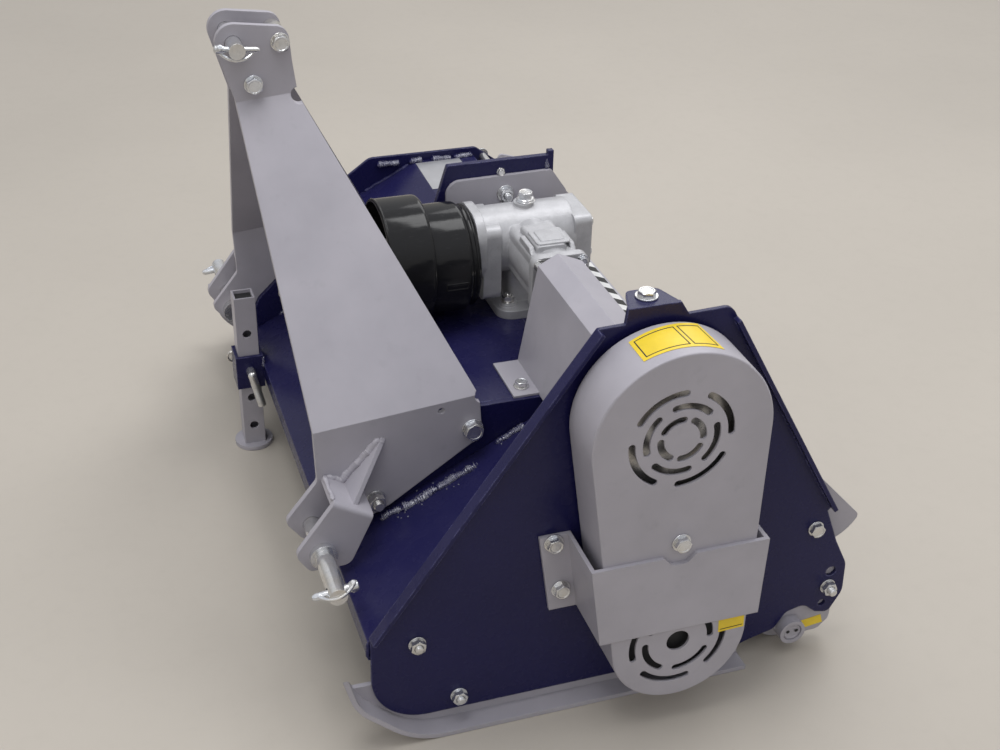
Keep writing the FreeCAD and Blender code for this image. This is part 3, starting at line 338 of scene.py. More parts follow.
def finishes(paint):
    """All finishes by name, made once from the settings."""
    grey, navy = tuple(paint.grey), tuple(paint.navy)
    return {
        "grey": painted("grey_paint", grey, rough=0.36, coat=0.05, peel=0.10,
                        chip_and_highlight_colour=(0.62, 0.61, 0.63), chip_and_highlight_amount=0.6, dust=paint.grime * 0.4, gloss=0.4,
                        round_off=0.0014),
        # navy: the light blue along its edges is partly wear, mostly a painted highlight
        "navy": painted("navy_paint", navy, rough=0.22, coat=0.0, peel=0.10,
                        chip_and_highlight_colour=(0.20, 0.20, 0.40), chip_and_highlight_amount=1.1, dust=paint.grime * 0.12, gloss=0.26,
                        round_off=0.0026),
        # navy welds: the near-white on their ripples and edges is mostly painted glints, little worn paint
        "weld": painted("navy_weld", tinted(navy, 1.3), rough=0.05, coat=1.0, peel=0.9,
                        chip_and_highlight_colour=(0.86, 0.87, 0.93), chip_and_highlight_amount=2.4, dust=0.1, gloss=0.8,
                        round_off=0.0016),
        "grey_weld": painted("grey_weld", grey, rough=0.30, coat=0.2, peel=0.25,
                             chip_and_highlight_colour=(0.66, 0.65, 0.68), chip_and_highlight_amount=0.8, dust=0.1, gloss=0.5,
                             round_off=0.0010),
        "zinc": plated("zinc_plate", tuple(paint.zinc), 0.12),
        "steel": plated("bright_steel", (0.45, 0.45, 0.46), 0.22, 0.3),
        "cast": cast_paint("silver_casting", tuple(paint.cast), 0.30),
        "iron": cast_paint("dark_iron", tuple(paint.iron), 0.5),
        "black": moulded("black_plastic", tuple(paint.plastic), 0.10),
        # dark: also the sheet in the stand's tube and the dots on the roller caps, which are painted shade
        "dark": flat_finish("dark_rubber_and_shade", (0.02, 0.02, 0.021), 0.6),
        "yellow": flat_finish("yellow_film", tuple(paint.yellow), 0.35),
        "silver": flat_finish("silver_film", (0.5, 0.5, 0.52), 0.3, 0.6),
        "white": flat_finish("white_film", (0.72, 0.72, 0.72), 0.35),
    }


FINISH = {}


# --- mesh maker
THREAD_PITCH = 0.0015
THREAD_DEPTH = 0.0008
WASHER_THICK = 0.19       # a washer's thickness, of its outer radius


def facing(at, axis, spin=0.0):
    """Placement whose local Z runs along axis from at."""
    z = Vector(axis).normalized()
    side = UP if abs(z.z) < 0.9 else REAR
    x = side.cross(z).normalized()
    turn = Matrix((x, z.cross(x), z)).transposed().to_4x4()
    return Matrix.Translation(Vector(at)) @ turn @ Matrix.Rotation(spin, 4, "Z")


def turns(n):
    """Angles of a full turn in n steps, both ends included."""
    return [2 * math.pi * k / n for k in range(n + 1)]


def circle(radius, n):
    """Points (x, y) of a full circle in n steps, its first point repeated at the end."""
    return [(radius * math.cos(a), radius * math.sin(a)) for a in turns(n)]


def skin(rows, per, bottom=True, top=True):
    """Faces round a stack of rings: rows of them, per points in each."""
    faces = [[i * per + k, i * per + (k + 1) % per, (i + 1) * per + (k + 1) % per,
              (i + 1) * per + k] for i in range(rows - 1) for k in range(per)]
    if bottom:
        faces.append(list(range(per))[::-1])
    if top:
        faces.append([(rows - 1) * per + k for k in range(per)])
    return faces


def lathe(profile, sides=32):
    """Closed surface turned round local Z from (radius, height) pairs."""
    verts, faces, rings = [], [], []
    for r, h in profile:
        if r < 1e-6:
            rings.append([len(verts)])
            verts.append((0, 0, h))
        else:
            rings.append(list(range(len(verts), len(verts) + sides)))
            verts += [(x, y, h) for x, y in circle(r, sides)[:-1]]
    for a, b in zip(rings, rings[1:]):
        for i in range(sides):
            j = (i + 1) % sides
            quad = dict.fromkeys((a[i % len(a)], a[j % len(a)], b[j % len(b)], b[i % len(b)]))
            if len(quad) > 2:
                faces.append(list(quad))
    for ring, flip in ((rings[0], True), (rings[-1], False)):
        if len(ring) > 1 and profile[0] != profile[-1]:
            faces.append(ring[::-1] if flip else ring)
    return verts, faces


def hexagon(across, height, bore=0.0, both=False):
    """Hexagon head or nut standing on local Z = 0, chamfered on top or at both ends."""
    inner, per_side = across / 2, 6
    around = []
    for k in range(6 * per_side):
        a = math.pi / 3 * k / per_side
        off = (a % (math.pi / 3)) - math.pi / 6
        around.append((a, inner / math.cos(off)))
    lip = inner * 0.95
    slope = math.tan(math.radians(30))
    rows = [[(r, (r - lip) * slope if both else 0.0, a) for a, r in around],
            [(r, height - (r - lip) * slope, a) for a, r in around],
            [(lip, height, a) for a, _ in around]]
    if both:
        rows.insert(0, [(lip, 0.0, a) for a, _ in around])
    inside = ((bore + 0.0006, 0.0), (bore, 0.0006), (bore, 0.003)) if bore else \
        ((lip * 0.86, 0.0001), (lip * 0.80, 0.0007))
    rows += [[(r, height - deep, a) for a, _ in around] for r, deep in inside]
    verts = [(r * math.cos(a), r * math.sin(a), h) for row in rows for r, h, a in row]
    return verts, skin(len(rows), len(around), top=not bore)


def washer(outer, inner, thick):
    b = thick * 0.2
    return lathe([(inner, 0), (outer - b, 0), (outer, b), (outer, thick - b),
                  (outer - b, thick), (inner, thick), (inner, 0)], 36)


def thread(radius, reach):
    """Threaded end standing out along local Z, its tip chamfered."""
    root = radius - THREAD_DEPTH
    rows, h = [(0, -0.001), (root, -0.001)], 0.0
    while h < reach - 0.0012:
        rows += [(radius, h + THREAD_PITCH * 0.35), (radius, h + THREAD_PITCH * 0.5),
                 (root, h + THREAD_PITCH)]
        h += THREAD_PITCH
    return lathe(rows + [(radius - 0.0012, reach), (0, reach)], 24)


def pipe(points, radius, sides):
    """Round bar bent along points."""
    pts = [Vector(p) for p in points]
    verts, normal = [], None
    for i, p in enumerate(pts):
        along = (pts[min(i + 1, len(pts) - 1)] - pts[max(i - 1, 0)]).normalized()
        if normal is None:
            normal = along.cross(UP if abs(along.z) < 0.9 else REAR).normalized()
        normal = (normal - along * normal.dot(along)).normalized()
        other = along.cross(normal)
        verts += [tuple(p + (normal * math.cos(a) + other * math.sin(a)) * radius)
                  for a in turns(sides)[:-1]]
    return verts, skin(len(pts), sides)


def round_corners(points, radius, steps):
    """Polyline with each inner corner rounded."""
    pts = [Vector(p) for p in points]
    out = [pts[0]]
    for a, b, c in zip(pts, pts[1:], pts[2:]):
        u, v = (a - b).normalized(), (c - b).normalized()
        reach = min(radius / math.tan(u.angle(v) / 2), (a - b).length * 0.49,
                    (c - b).length * 0.49)
        for k in range(steps + 1):
            t = k / steps
            out.append((b + u * reach) * (1 - t) ** 2 + b * 2 * t * (1 - t)
                       + (b + v * reach) * t * t)
    return out + [pts[-1]]


def plate(outline, thick, bevel):
    """Flat plate on an outline in local XY, 0 to thick, its top edge eased."""
    flat = [Vector(p) for p in outline]
    middle = sum(flat, Vector((0, 0))) / len(flat)
    eased = [p + (middle - p).normalized() * bevel for p in flat]
    verts = [(p.x, p.y, h) for row, h in ((flat, 0.0), (flat, thick - bevel), (eased, thick))
             for p in row]
    return verts, skin(3, len(flat))


def rounded(width, height, radius, steps=6):
    """Outline of a rectangle with round corners about the origin."""
    out, arc = [], circle(radius, steps * 4)
    for quarter, (cx, cy) in enumerate(((1, 1), (-1, 1), (-1, -1), (1, -1))):
        out += [(cx * (width / 2 - radius) + x, cy * (height / 2 - radius) + y)
                for x, y in arc[quarter * steps:(quarter + 1) * steps + 1]]
    return out


def placed(name, data):
    """New object in the scene."""
    made = bpy.data.objects.new(name, data)
    bpy.context.scene.collection.objects.link(made)
    return made


class Piece:
    """Gathers shapes into one mesh that rides on a body."""

    def __init__(self, name, finish="zinc"):
        self.name, self.finish = name, finish
        self.verts, self.faces, self.marks, self.used = [], [], [], []

    def add(self, shape, where=None, finish=None):
        """Adds a shape's corners and faces, in the piece's own finish if none is given."""
        verts, faces = shape
        where, finish = where or Matrix.Identity(4), finish or self.finish
        if finish not in self.used:
            self.used.append(finish)
        base = len(self.verts)
        self.verts += [tuple(where @ Vector(v)) for v in verts]
        self.faces += [[base + i for i in face] for face in faces]
        self.marks += [self.used.index(finish)] * len(faces)

    def put(self, shape, at, axis, spin=0.0, finish=None):
        """Adds a shape that stands at a point along an axis."""
        self.add(shape, facing(at, axis, spin), finish)

    def mirrored(self):
        """Adds the same shapes on the other side of the machine."""
        n = len(self.verts)
        self.verts += [(-x, y, z) for x, y, z in self.verts]
        self.faces += [[n + i for i in reversed(face)] for face in self.faces]
        self.marks *= 2
        return self

    def done(self, body="frame_body", slot="zinc", sharp=32.0):
        """Makes the mesh and puts it on its body; slot is not used."""
        mesh = bpy.data.meshes.new(self.name)
        mesh.from_pydata(self.verts, [], self.faces)
        mesh.validate()
        for finish in self.used:
            mesh.materials.append(FINISH[finish])
        mesh.polygons.foreach_set("material_index", self.marks)
        work = bmesh.new()
        work.from_mesh(mesh)
        bmesh.ops.recalc_face_normals(work, faces=work.faces)
        work.to_mesh(mesh)
        work.free()
        mesh.shade_smooth()
        mesh.set_sharp_from_angle(angle=math.radians(sharp))
        piece = placed(self.name, mesh)
        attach(piece, body)
        return piece


def stack(piece, at, axis, *rows):
    """Shapes set along an axis from a point, each (distance, shape) or with its spin too."""
    for out, shape, *spin in rows:
        piece.put(shape, Vector(at) + axis * out, axis, *spin)


def bolt(piece, at, axis, across, head, ring, spin=0.2):
    """Hexagon head on a washer of radius ring."""
    thick = ring * WASHER_THICK
    stack(piece, at, axis, (0, washer(ring, across * 0.33, thick), spin),
          (thick, hexagon(across, head), spin))


def nut(piece, at, axis, across, height, ring, stud, out=0.008, spin=0.4):
    """Nut on a washer, the end of its stud standing out of it."""
    thick = ring * WASHER_THICK
    stack(piece, at, axis, (0, washer(ring, stud * 1.05, thick), spin),
          (thick, hexagon(across, height, stud + 0.0002, True), spin),
          (0, thread(stud, thick + height + out), spin))


def at_side(x, anchor, dy=0, dz=0):
    """Point on a plane across X, off an anchor by millimetres along Y and Z."""
    return Vector((x, anchor.y + dy * 0.001, anchor.z + dz * 0.001))


def on_slope(x, y, lift=0.0):
    """Point on the sloping deck, or lift above it."""
    return Vector((x, y, NOSE_Z + DECK_SLOPE * (y - NOSE_Y) + lift))


# --- operators
FLOOR_HALF = 14.0
FLOOR_DROP = 0.0004       # keeps the floor clear of the faces that stand on it
HORIZON = (0.37, 0.355, 0.325)
ZENITH = (0.74, 0.75, 0.78)
LAMPS = (("top_light", (0.5, -0.7, 3.2), 1.3, 26.0),       # name, place, size, watts
         ("rear_light", (-0.3, 1.1, 3.2), 1.3, 26.0),
         ("side_light", (3.4, -1.6, 2.2), 2.2, 5.5),
         ("back_light", (-2.6, 2.0, 2.8), 2.0, 22.0))


class MULCHER_OT_stage(Operator):
    """Sets the floor, the soft light and the camera"""
    bl_idname = "mulcher.stage"
    bl_label = "Stage"

    def execute(self, context):
        stage, scene = context.scene.mulcher_stage, context.scene
        scene.view_settings.view_transform = "Standard"
        self.lay_floor(tuple(stage.floor))
        self.light(scene)
        self.aim_camera(scene, stage)
        return {"FINISHED"}

    def lay_floor(self, base):
        """Plain pale floor, faintly clouded."""
        finish, start, surface = new_finish("pale_floor")
        cloud = start.noise(0.9, 4.0, 0.55)
        grit = start.noise(35.0, 4.0, 0.6)
        body = cloud.shades(base, 0.95, 1.05)
        body = grit.over(body, 0.5, 0.8, 0.12, tinted(base, 0.8))
        feed(start, surface, Base_Color=body, Roughness=0.62 + grit * 0.1)
        ground = bmesh.new()
        bmesh.ops.create_grid(ground, x_segments=2, y_segments=2, size=FLOOR_HALF)
        mesh = bpy.data.meshes.new("floor")
        ground.to_mesh(mesh)
        ground.free()
        mesh.materials.append(finish)
        floor = placed("floor", mesh)
        floor.location.z = -FLOOR_DROP

    def light(self, scene):
        """Pale room that brightens upwards, and four soft lamps aimed at the machine."""
        world = bpy.data.worlds.new("soft_room")
        world.use_nodes = True
        back = world.node_tree.nodes["Background"]
        room = Shade(world.node_tree)
        height = room.node("ShaderNodeSeparateXYZ", None,
                           {0: room.node("ShaderNodeTexCoord", out="Generated")}, out="Z")
        room.plug(back.inputs["Color"], height.ramp(0.0, 0.75).blend(HORIZON, ZENITH))
        room.plug(back.inputs["Strength"], 1.0)
        scene.world = world
        middle = (cad_box[0] + cad_box[1]) / 2
        for name, at, size, power in LAMPS:
            lamp = bpy.data.lights.new(name, "AREA")
            lamp.shape, lamp.size, lamp.energy = "SQUARE", size, power
            light = placed(name, lamp)
            light.location = at
            light.rotation_euler = (middle - Vector(at)).to_track_quat("-Z", "Y").to_euler()

    def aim_camera(self, scene, stage):
        """Camera on a sphere round the point that it looks at."""
        az, el, roll = (math.radians(v) for v in (stage.azimuth, stage.elevation, stage.roll))
        back = Vector((math.sin(az) * math.cos(el), -math.cos(az) * math.cos(el), math.sin(el)))
        level = (-back).cross(UP).normalized()
        upright = level.cross(-back)
        right = level * math.cos(roll) + upright * math.sin(roll)
        up = upright * math.cos(roll) - level * math.sin(roll)
        lens = bpy.data.cameras.new("camera")
        lens.lens, lens.sensor_width = stage.focal, 36.0
        at = Vector(stage.look_at) + back * stage.distance
        scene.camera = placed("camera", lens)
        scene.camera.matrix_world = Matrix.Translation(at) \
            @ Matrix((right, up, back)).transposed().to_4x4()


class MULCHER_OT_dress(Operator):
    """Gives every solid its finish"""
    bl_idname = "mulcher.dress"
    bl_label = "Finishes of the solids"

    def execute(self, context):
        FINISH.update(finishes(context.scene.mulcher_paint))
        for part in frame["record"]["subparts"]:
            node = NODES[part["node"]]
            node.data.materials.clear()
            node.data.materials.append(FINISH[part["material_slot"]])
        return {"FINISHED"}


# --- fasteners
# across flats, head's height, washer's radius; for nuts then the stud's radius and
# how far it stands out
LEG_BOLT = (0.0205, 0.0095, 0.0132)
LEG_NUT = (0.0205, 0.011, 0.0132, 0.0068, 0.008)
HEEL_BOLT = (0.0190, 0.0085, 0.0122)
HEEL_NUT = (0.0190, 0.0115, 0.0122, 0.0064, 0.006)
CLEVIS_BOLT = (0.0178, 0.0082, 0.0114)
CLEVIS_NUT = (0.0178, 0.0090, 0.0114, 0.0062, 0.0)
STRAP_BOLT = (0.0165, 0.0078, 0.0116)
STRAP_NUT = (0.0165, 0.008, 0.0116, 0.005)
GUARD_BOLT = (0.0168, 0.0072, 0.0112)
COVER_BOLT = (0.0135, 0.0062, 0.0095)
GEARBOX_NUT = (0.0145, 0.0075, 0.0096, 0.0045, 0.003)
MOUNT_NUT = (0.0165, 0.009, 0.0118, 0.005, 0.008)
WALL_BOLT = (0.019, 0.0075, 0.0135)
WALL_NUT = (0.019, 0.010, 0.0135, 0.006, 0.006)
CASTING_SCREW = (0.010, 0.005, 0.0078)
BEARING_SCREW = (0.017, 0.0068, 0.0105)

STRAP_SHEET = 0.005
LEG_GRIP = 0.016          # tower leg and its bracket together
ADJUSTER_GRIP = 0.018     # side plate and roller arm together


class MULCHER_OT_plate_bolts(Operator):
    """Bolts and nuts of both side plates"""
    bl_idname = "mulcher.plate_bolts"
    bl_label = "Side plate bolts"

    def execute(self, context):
        size = context.scene.mulcher_bolts
        head = (size.across, size.head, size.washer)
        thin_nut = (size.across, 0.0078, size.washer, 0.0048)
        piece = Piece("plate_bolts")
        for dy, dz in ((-286, 8), (-237, -82)):
            at = at_side(PLATE_OUT, ROTOR_AT, dy, dz)
            nut(piece, at, SIDE, *thin_nut, 0.004, 0.5 + dy)
            bolt(piece, at - SIDE * (PLATE_OUT - PLATE_IN), -SIDE, *head)
        bolt(piece, at_side(PLATE_OUT, ROLLER_AT, 15, 151), SIDE, *head, 0.1)
        nut(piece, at_side(PLATE_IN, ROLLER_AT, 15, 151), -SIDE, *thin_nut)
        at = at_side(PLATE_OUT, ROLLER_AT, 45, 56)
        nut(piece, at, SIDE, size.across, 0.0080, size.washer, 0.0050, 0.007, 0.9)
        bolt(piece, at - SIDE * ADJUSTER_GRIP, -SIDE, *head)
        piece.mirrored().done()
        return {"FINISHED"}


class MULCHER_OT_arm_bolts(Operator):
    """Bolts that hold the tower's legs to their brackets"""
    bl_idname = "mulcher.arm_bolts"
    bl_label = "Tower leg bolts"

    def execute(self, context):
        piece = Piece("tower_leg_bolts")
        rear, heel = at_side(ARM_OUT, LOWER_AT, 198, 99), at_side(ARM_OUT, LOWER_AT, 78, 21)
        bolt(piece, rear, SIDE, *LEG_BOLT, 0.3)
        nut(piece, rear - SIDE * LEG_GRIP, -SIDE, *LEG_NUT)
        nut(piece, heel, SIDE, *HEEL_NUT, 0.7)
        bolt(piece, heel - SIDE * LEG_GRIP, -SIDE, *HEEL_BOLT)
        piece.mirrored().done()
        return {"FINISHED"}


class MULCHER_OT_top_bolts(Operator):
    """Bolts and spacers of the top-link clevis"""
    bl_idname = "mulcher.top_bolts"
    bl_label = "Top clevis bolts"

    def execute(self, context):
        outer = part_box("clevis_bolts")[1].x - 0.014       # outer faces of the clevis
        gap = 0.0225                                      # half the clevis's inner width
        sleeve = lathe([(0.0085, -gap), (0.0112, -gap), (0.0118, -gap + 0.0006),
                        (0.0118, gap - 0.0006), (0.0112, gap), (0.0085, gap), (0.0085, -gap)])
        shank = lathe([(0, -outer), (0.008, -outer), (0.008, outer), (0, outer)])
        piece = Piece("top_clevis_bolts")
        for dy, dz, spin in ((54, -2, 0.15), (20, -50, 0.5)):
            at = at_side(0, TOP_AT, dy, dz)
            bolt(piece, at + SIDE * outer, SIDE, *CLEVIS_BOLT, spin)
            nut(piece, at - SIDE * outer, -SIDE, *CLEVIS_NUT, spin + 0.3)
            piece.put(sleeve, at, SIDE)
            piece.put(shank, at, SIDE)
        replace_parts(piece.done(), "clevis_bolts")
        return {"FINISHED"}


def linchpin(piece, at, along, out, stem, span, arch, wire):
    """Stem through a pin's cross hole, its wire arch swung over the pin's end.

    at is where the stem crosses the pin, along its way from head to tip, out the arch's way."""
    along, out = Vector(along).normalized(), Vector(out).normalized()
    head = at - along * span * 0.42
    piece.put(lathe([(0, -0.0060), (stem * 0.8, -0.0060), (stem * 1.35, -0.0045),
                     (stem * 1.35, 0.0035), (stem, 0.0060), (stem, span - 0.004),
                     (stem * 0.55, span), (0, span)], 20), head, along)
    side = along.cross(out).normalized()
    eye = lathe([(0, 0), (wire * 1.7, 0), (wire * 1.7, 0.003), (wire, 0.0042), (0, 0.0042)], 14)
    for s in (-1, 1):
        piece.put(eye, head + side * s * stem, side * s)
    loop, n = [], 36
    for k in range(n + 1):
        t = k / n
        swing = arch * math.sin(math.pi * t) ** 0.7
        loop.append(head + along * span * 0.86 * t + out * swing
                    + side * stem * (1.15 - 0.6 * t))
    piece.add(pipe(loop, wire, 8))


class MULCHER_OT_linchpins(Operator):
    """Linchpins through the ends of the lower pins and the top pin"""
    bl_idname = "mulcher.linchpins"
    bl_label = "Linchpins"

    def execute(self, context):
        piece = Piece("lower_linchpins")
        at = at_side(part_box("lower_pin_left")[1].x - 0.012, LOWER_AT)
        linchpin(piece, at, (0, -1, -0.13), (0.95, 0, -0.25), 0.0046, 0.048, 0.013, 0.0021)
        piece.mirrored().done()
        piece = Piece("top_linchpin")
        at = at_side(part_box("top_pin")[1].x - 0.009, TOP_AT)
        linchpin(piece, at, (0, 0.98, -0.09), (0.6, 0, -0.8), 0.0036, 0.046, 0.012, 0.0021)
        piece.done()
        return {"FINISHED"}


class MULCHER_OT_guard_bolts(Operator):
    """Bolts of the belt guard and of its strap"""
    bl_idname = "mulcher.guard_bolts"
    bl_label = "Belt guard bolts"

    def execute(self, context):
        piece = Piece("guard_bolts")
        for dy, dz, spin in ((-130, 118.5, 0.2), (-119, 51.5, 0.45)):
            bolt(piece, at_side(PLATE_OUT + STRAP_SHEET, ROTOR_AT, dy, dz), SIDE,
                 *STRAP_BOLT, spin)
            nut(piece, at_side(PLATE_IN, ROTOR_AT, dy, dz), -SIDE, *STRAP_NUT)
        bolt(piece, at_side(GUARD_FACE, ROTOR_AT, -9, 142.5), SIDE, *GUARD_BOLT, 0.1)
        rivet = lathe([(0.0085, 0), (0.0085, 0.0012), (0.0070, 0.0030), (0.0035, 0.0042),
                       (0, 0.0045)], 24)
        piece.put(rivet, at_side(PLATE_OUT + 0.036, ROTOR_AT, -102.5, 84), -REAR)
        piece.done()
        return {"FINISHED"}


class MULCHER_OT_tension(Operator):
    """Belt tension bolt on the tall plate's tab"""
    bl_idname = "mulcher.tension"
    bl_label = "Belt tension bolt"

    def execute(self, context):
        across, head_ring, nut_ring = 0.0175, 0.0022, 0.002
        low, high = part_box("tension_bolt")
        middle = (low + high) / 2
        at = Vector((middle.x, middle.y, TAB_TOP))
        under = at - UP * 0.006
        piece = Piece("tension_screw")
        stack(piece, at, UP, (0, washer(0.0125, 0.0062, head_ring)),
              (head_ring, hexagon(across, high.z - TAB_TOP - 0.0024), 0.3))
        stack(piece, under, -UP, (0, washer(0.0115, 0.0062, nut_ring)),
              (nut_ring, hexagon(across, 0.008, 0.0061, True), 0.1))
        piece.put(thread(0.0059, TAB_TOP - low.z), at, -UP)
        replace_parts(piece.done(), "tension_bolt")
        return {"FINISHED"}


class MULCHER_OT_deck_bolts(Operator):
    """Bolts of the shaft cover's feet, the gearbox feet and the mounting plate"""
    bl_idname = "mulcher.deck_bolts"
    bl_label = "Deck bolts"

    def execute(self, context):
        piece = Piece("deck_bolts")
        cover_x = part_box("shaft_cover")[0].x
        for dx, dy in ((0.061, -0.073), (0.057, 0.061)):
            bolt(piece, (cover_x + dx, SHAFT_AT.y + dy, DECK_TOP + 0.003), UP, *COVER_BOLT, 0.35)
        mount_low, mount_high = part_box("gearbox_mount_plate")
        for sx, sy in CORNERS:
            foot = (INPUT_AT.x + sx * 0.027, SHAFT_AT.y + sy * 0.027, mount_low.z + 0.016)
            nut(piece, foot, UP, *GEARBOX_NUT, 0.2 + sx)
        wall_low, wall_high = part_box("gearbox_bracket")
        for dy, dz, size, spin in ((0, 28, MOUNT_NUT, 0.3), (-50, -70, WALL_NUT, 0.8),
                                   (50, -70, WALL_NUT, 0.8)):
            nut(piece, at_side(mount_high.x, SHAFT_AT, dy, dz), SIDE, *size, spin)
            bolt(piece, at_side(wall_low.x, SHAFT_AT, dy, dz), -SIDE, *WALL_BOLT)
        stack(piece, at_side(wall_high.x, SHAFT_AT, -5, 57), SIDE,
              (0, washer(0.0055, 0.003, 0.0010)), (0.0010, hexagon(0.0085, 0.0045)))
        piece.done()
        return {"FINISHED"}


# --- bell, casting
BELL_REACH = 0.065        # from the bell's seat to the near drum's mouth
NEAR_DRUM = [(0.0675, -0.004), (0.0712, -0.004), (0.0712, 0.050), (0.0650, 0.055),
             (0.0650, 0.065), (0.0560, 0.065), (0.0560, 0.060), (0.0610, 0.057),
             (0.0675, 0.046), (0.0675, 0.0)]
MOUTH_DRUM = [(0.0765, 0.0), (0.0797, 0.0), (0.0797, 0.0585), (0.0600, 0.0600),
              (0.0600, 0.0560), (0.0760, 0.0545), (0.0765, 0.010)]
HATCH_RADIUS = 0.0713
HATCH = ((-0.080, -3), (-0.052, -3), (-0.052, -10), (-0.080, -10), (-0.080, -3))


class MULCHER_OT_bell(Operator):
    """Moulded bell round the input shaft, with its seat, rim and hatch"""
    bl_idname = "mulcher.bell"
    bl_label = "Shaft guard bell"

    def execute(self, context):
        low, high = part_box("input_guard")
        near_z, mouth_z = SHAFT_AT.z - 0.018, SHAFT_AT.z - 0.012
        piece = Piece("guard_bell", "black")
        for outline, z, start in ((NEAR_DRUM, near_z, high.y - BELL_REACH),
                                  (MOUTH_DRUM, mouth_z, low.y)):
            soft = [(p.x, p.y) for p in round_corners([(r, h, 0) for r, h in outline], 0.007, 6)]
            piece.put(lathe(soft + soft[:1], 96), (INPUT_AT.x, start, z), REAR)
        for radius, z, y, thick in ((0.0650, near_z, high.y - 0.0045, 0.0016),
                                    (0.0793, mouth_z, low.y + 0.0022, 0.0012)):
            ring = [(INPUT_AT.x + dx, y, z + dz) for dx, dz in circle(radius, 96)]
            piece.add(pipe(ring, thick, 8))
        border = [Vector((INPUT_AT.x + HATCH_RADIUS * math.cos(math.radians(turn)), y,
                          near_z + HATCH_RADIUS * math.sin(math.radians(turn))))
                  for y, turn in HATCH]
        piece.add(pipe(round_corners(border, 0.002, 3), 0.0008, 6))
        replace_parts(piece.done(slot="black"), "input_guard")
        return {"FINISHED"}


class MULCHER_OT_casting(Operator):
    """Filler plug, flange screws and raised pads of the gearbox casting"""
    bl_idname = "mulcher.casting"
    bl_label = "Gearbox details"

    def execute(self, context):
        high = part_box("gearbox_housing")[1]
        piece = Piece("gearbox_screws")
        top = Vector((INPUT_AT.x, SHAFT_AT.y + 0.003, high.z))
        collar = lathe([(0.0115, 0), (0.0115, 0.0022), (0.0105, 0.003), (0, 0.003)])
        stack(piece, top, UP, (0, washer(0.0125, 0.006, 0.0018)), (0.0018, collar),
              (0.0046, hexagon(0.017, 0.0085), 0.5))
        for sy, sz in CORNERS:
            at = at_side(high.x, SHAFT_AT, sy * 28, sz * 28)
            bolt(piece, at, SIDE, *CASTING_SCREW, 0.3 * sy)
        for k in range(4):
            a = math.radians(45 + 90 * k)
            at = (INPUT_AT.x + 0.036 * math.cos(a), high.y,
                  SHAFT_AT.z - 0.001 + 0.030 * math.sin(a))
            bolt(piece, at, REAR, *CASTING_SCREW)
        piece.done()
        detail = Piece("casting_pads", "cast")
        pad_x, pad_top = high.x - 0.051, SHAFT_AT.z + 0.039
        for width, depth, corner, thick, ease, lift in (
                (0.042, 0.044, 0.005, 0.0022, 0.0008, -0.0002),
                (0.030, 0.031, 0.003, 0.0014, 0.0006, 0.0018)):
            detail.put(plate(rounded(width, depth, corner), thick, ease),
                       (pad_x, SHAFT_AT.y + 0.002, pad_top + lift), UP)
        rib = plate([(-0.030, 0), (0.026, 0), (0.026, 0.004), (0.012, 0.016), (-0.022, 0.016)],
                    0.006, 0.001)
        upright = Matrix.Rotation(math.radians(90), 4, "X")
        for sy in (-1, 1):
            at = (pad_x + 0.004, SHAFT_AT.y + 0.0265 * sy + 0.003, SHAFT_AT.z + 0.020)
            detail.add(rib, Matrix.Translation(at) @ upright)
        detail.done(slot="cast")
        return {"FINISHED"}


# --- welds
BEAD_STEP = 0.0009        # length of one slice of a bead
BEAD_SIDES = 12
LUMP = 7                  # slices from one swelling to the next
RIPPLE = 3.7              # slices from one ripple to the next


def weld(piece, start, end, radius, seed, spatter=0, up=UP, ripple=0.13, finish=None):
    """Rippled, lumpy bead between two points, with drops of spatter beside it."""
    rng = random.Random(seed)
    start, end = Vector(start), Vector(end)
    n = max(6, int((end - start).length / BEAD_STEP))
    swell = [rng.uniform(0.82, 1.18) for _ in range(n // LUMP + 3)]
    drift = [Vector([rng.uniform(-1, 1) * radius * 0.22 for _ in range(3)]) for _ in swell]
    along = (end - start).normalized()
    normal = (up - along * along.dot(up)).normalized()
    other = along.cross(normal)
    verts = []
    for k in range(n + 1):
        t, f = divmod(k, LUMP)
        f /= LUMP
        r = radius * (swell[t] * (1 - f) + swell[t + 1] * f)
        r *= 1 + ripple * math.sin(2 * math.pi * k / RIPPLE)
        r *= min(1.0, 0.35 + min(k, n - k) * 0.22)
        at = start.lerp(end, k / n) + drift[t] * (1 - f) + drift[t + 1] * f
        verts += [tuple(at + (normal * math.cos(a) * 0.8 + other * math.sin(a))
                        * r * rng.uniform(0.95, 1.05)) for a in turns(BEAD_SIDES)[:-1]]
    piece.add((verts, skin(n + 1, BEAD_SIDES)), finish=finish)
    for _ in range(spatter):
        at = start.lerp(end, rng.random()) + other * rng.uniform(-1, 1) * radius * 3.5
        r = rng.uniform(0.0006, 0.0013)
        piece.put(lathe([(0, -r), (r, -r * 0.4), (r * 0.8, r * 0.5), (0, r)], 8), at, up,
                  finish=finish)


class MULCHER_OT_welds(Operator):
    """Weld beads between the hull's deck and its side plates"""
    bl_idname = "mulcher.welds"
    bl_label = "Weld beads"

    def execute(self, context):
        hull = Piece("hull_welds", "weld")
        for s, seed in ((1, 3), (-1, 14)):
            x = s * (PLATE_IN - 0.001)
            for k, (a, b) in enumerate(((0.006, 0.085), (0.12, 0.19), (0.225, 0.300))):
                weld(hull, on_slope(x, NOSE_Y + a), on_slope(x, NOSE_Y + b), 0.0032, seed + k,
                     up=OFF_SLOPE, finish="navy")
            inner, top = x - s * 0.001, DECK_TOP + 0.001
            for k, (a, b) in enumerate(((-0.030, 0.008), (0.022, 0.046), (0.060, 0.094),
                                        (0.098, 0.130))):
                weld(hull, (inner, a, top), (inner, b, top), 0.0056, seed + 9 + k)
            weld(hull, (x, NOSE_Y, NOSE_Z - 0.002), (x, NOSE_Y, NOSE_Z - 0.024), 0.003, seed,
                 up=REAR, finish="navy")
        hull.done(slot="navy")
        return {"FINISHED"}


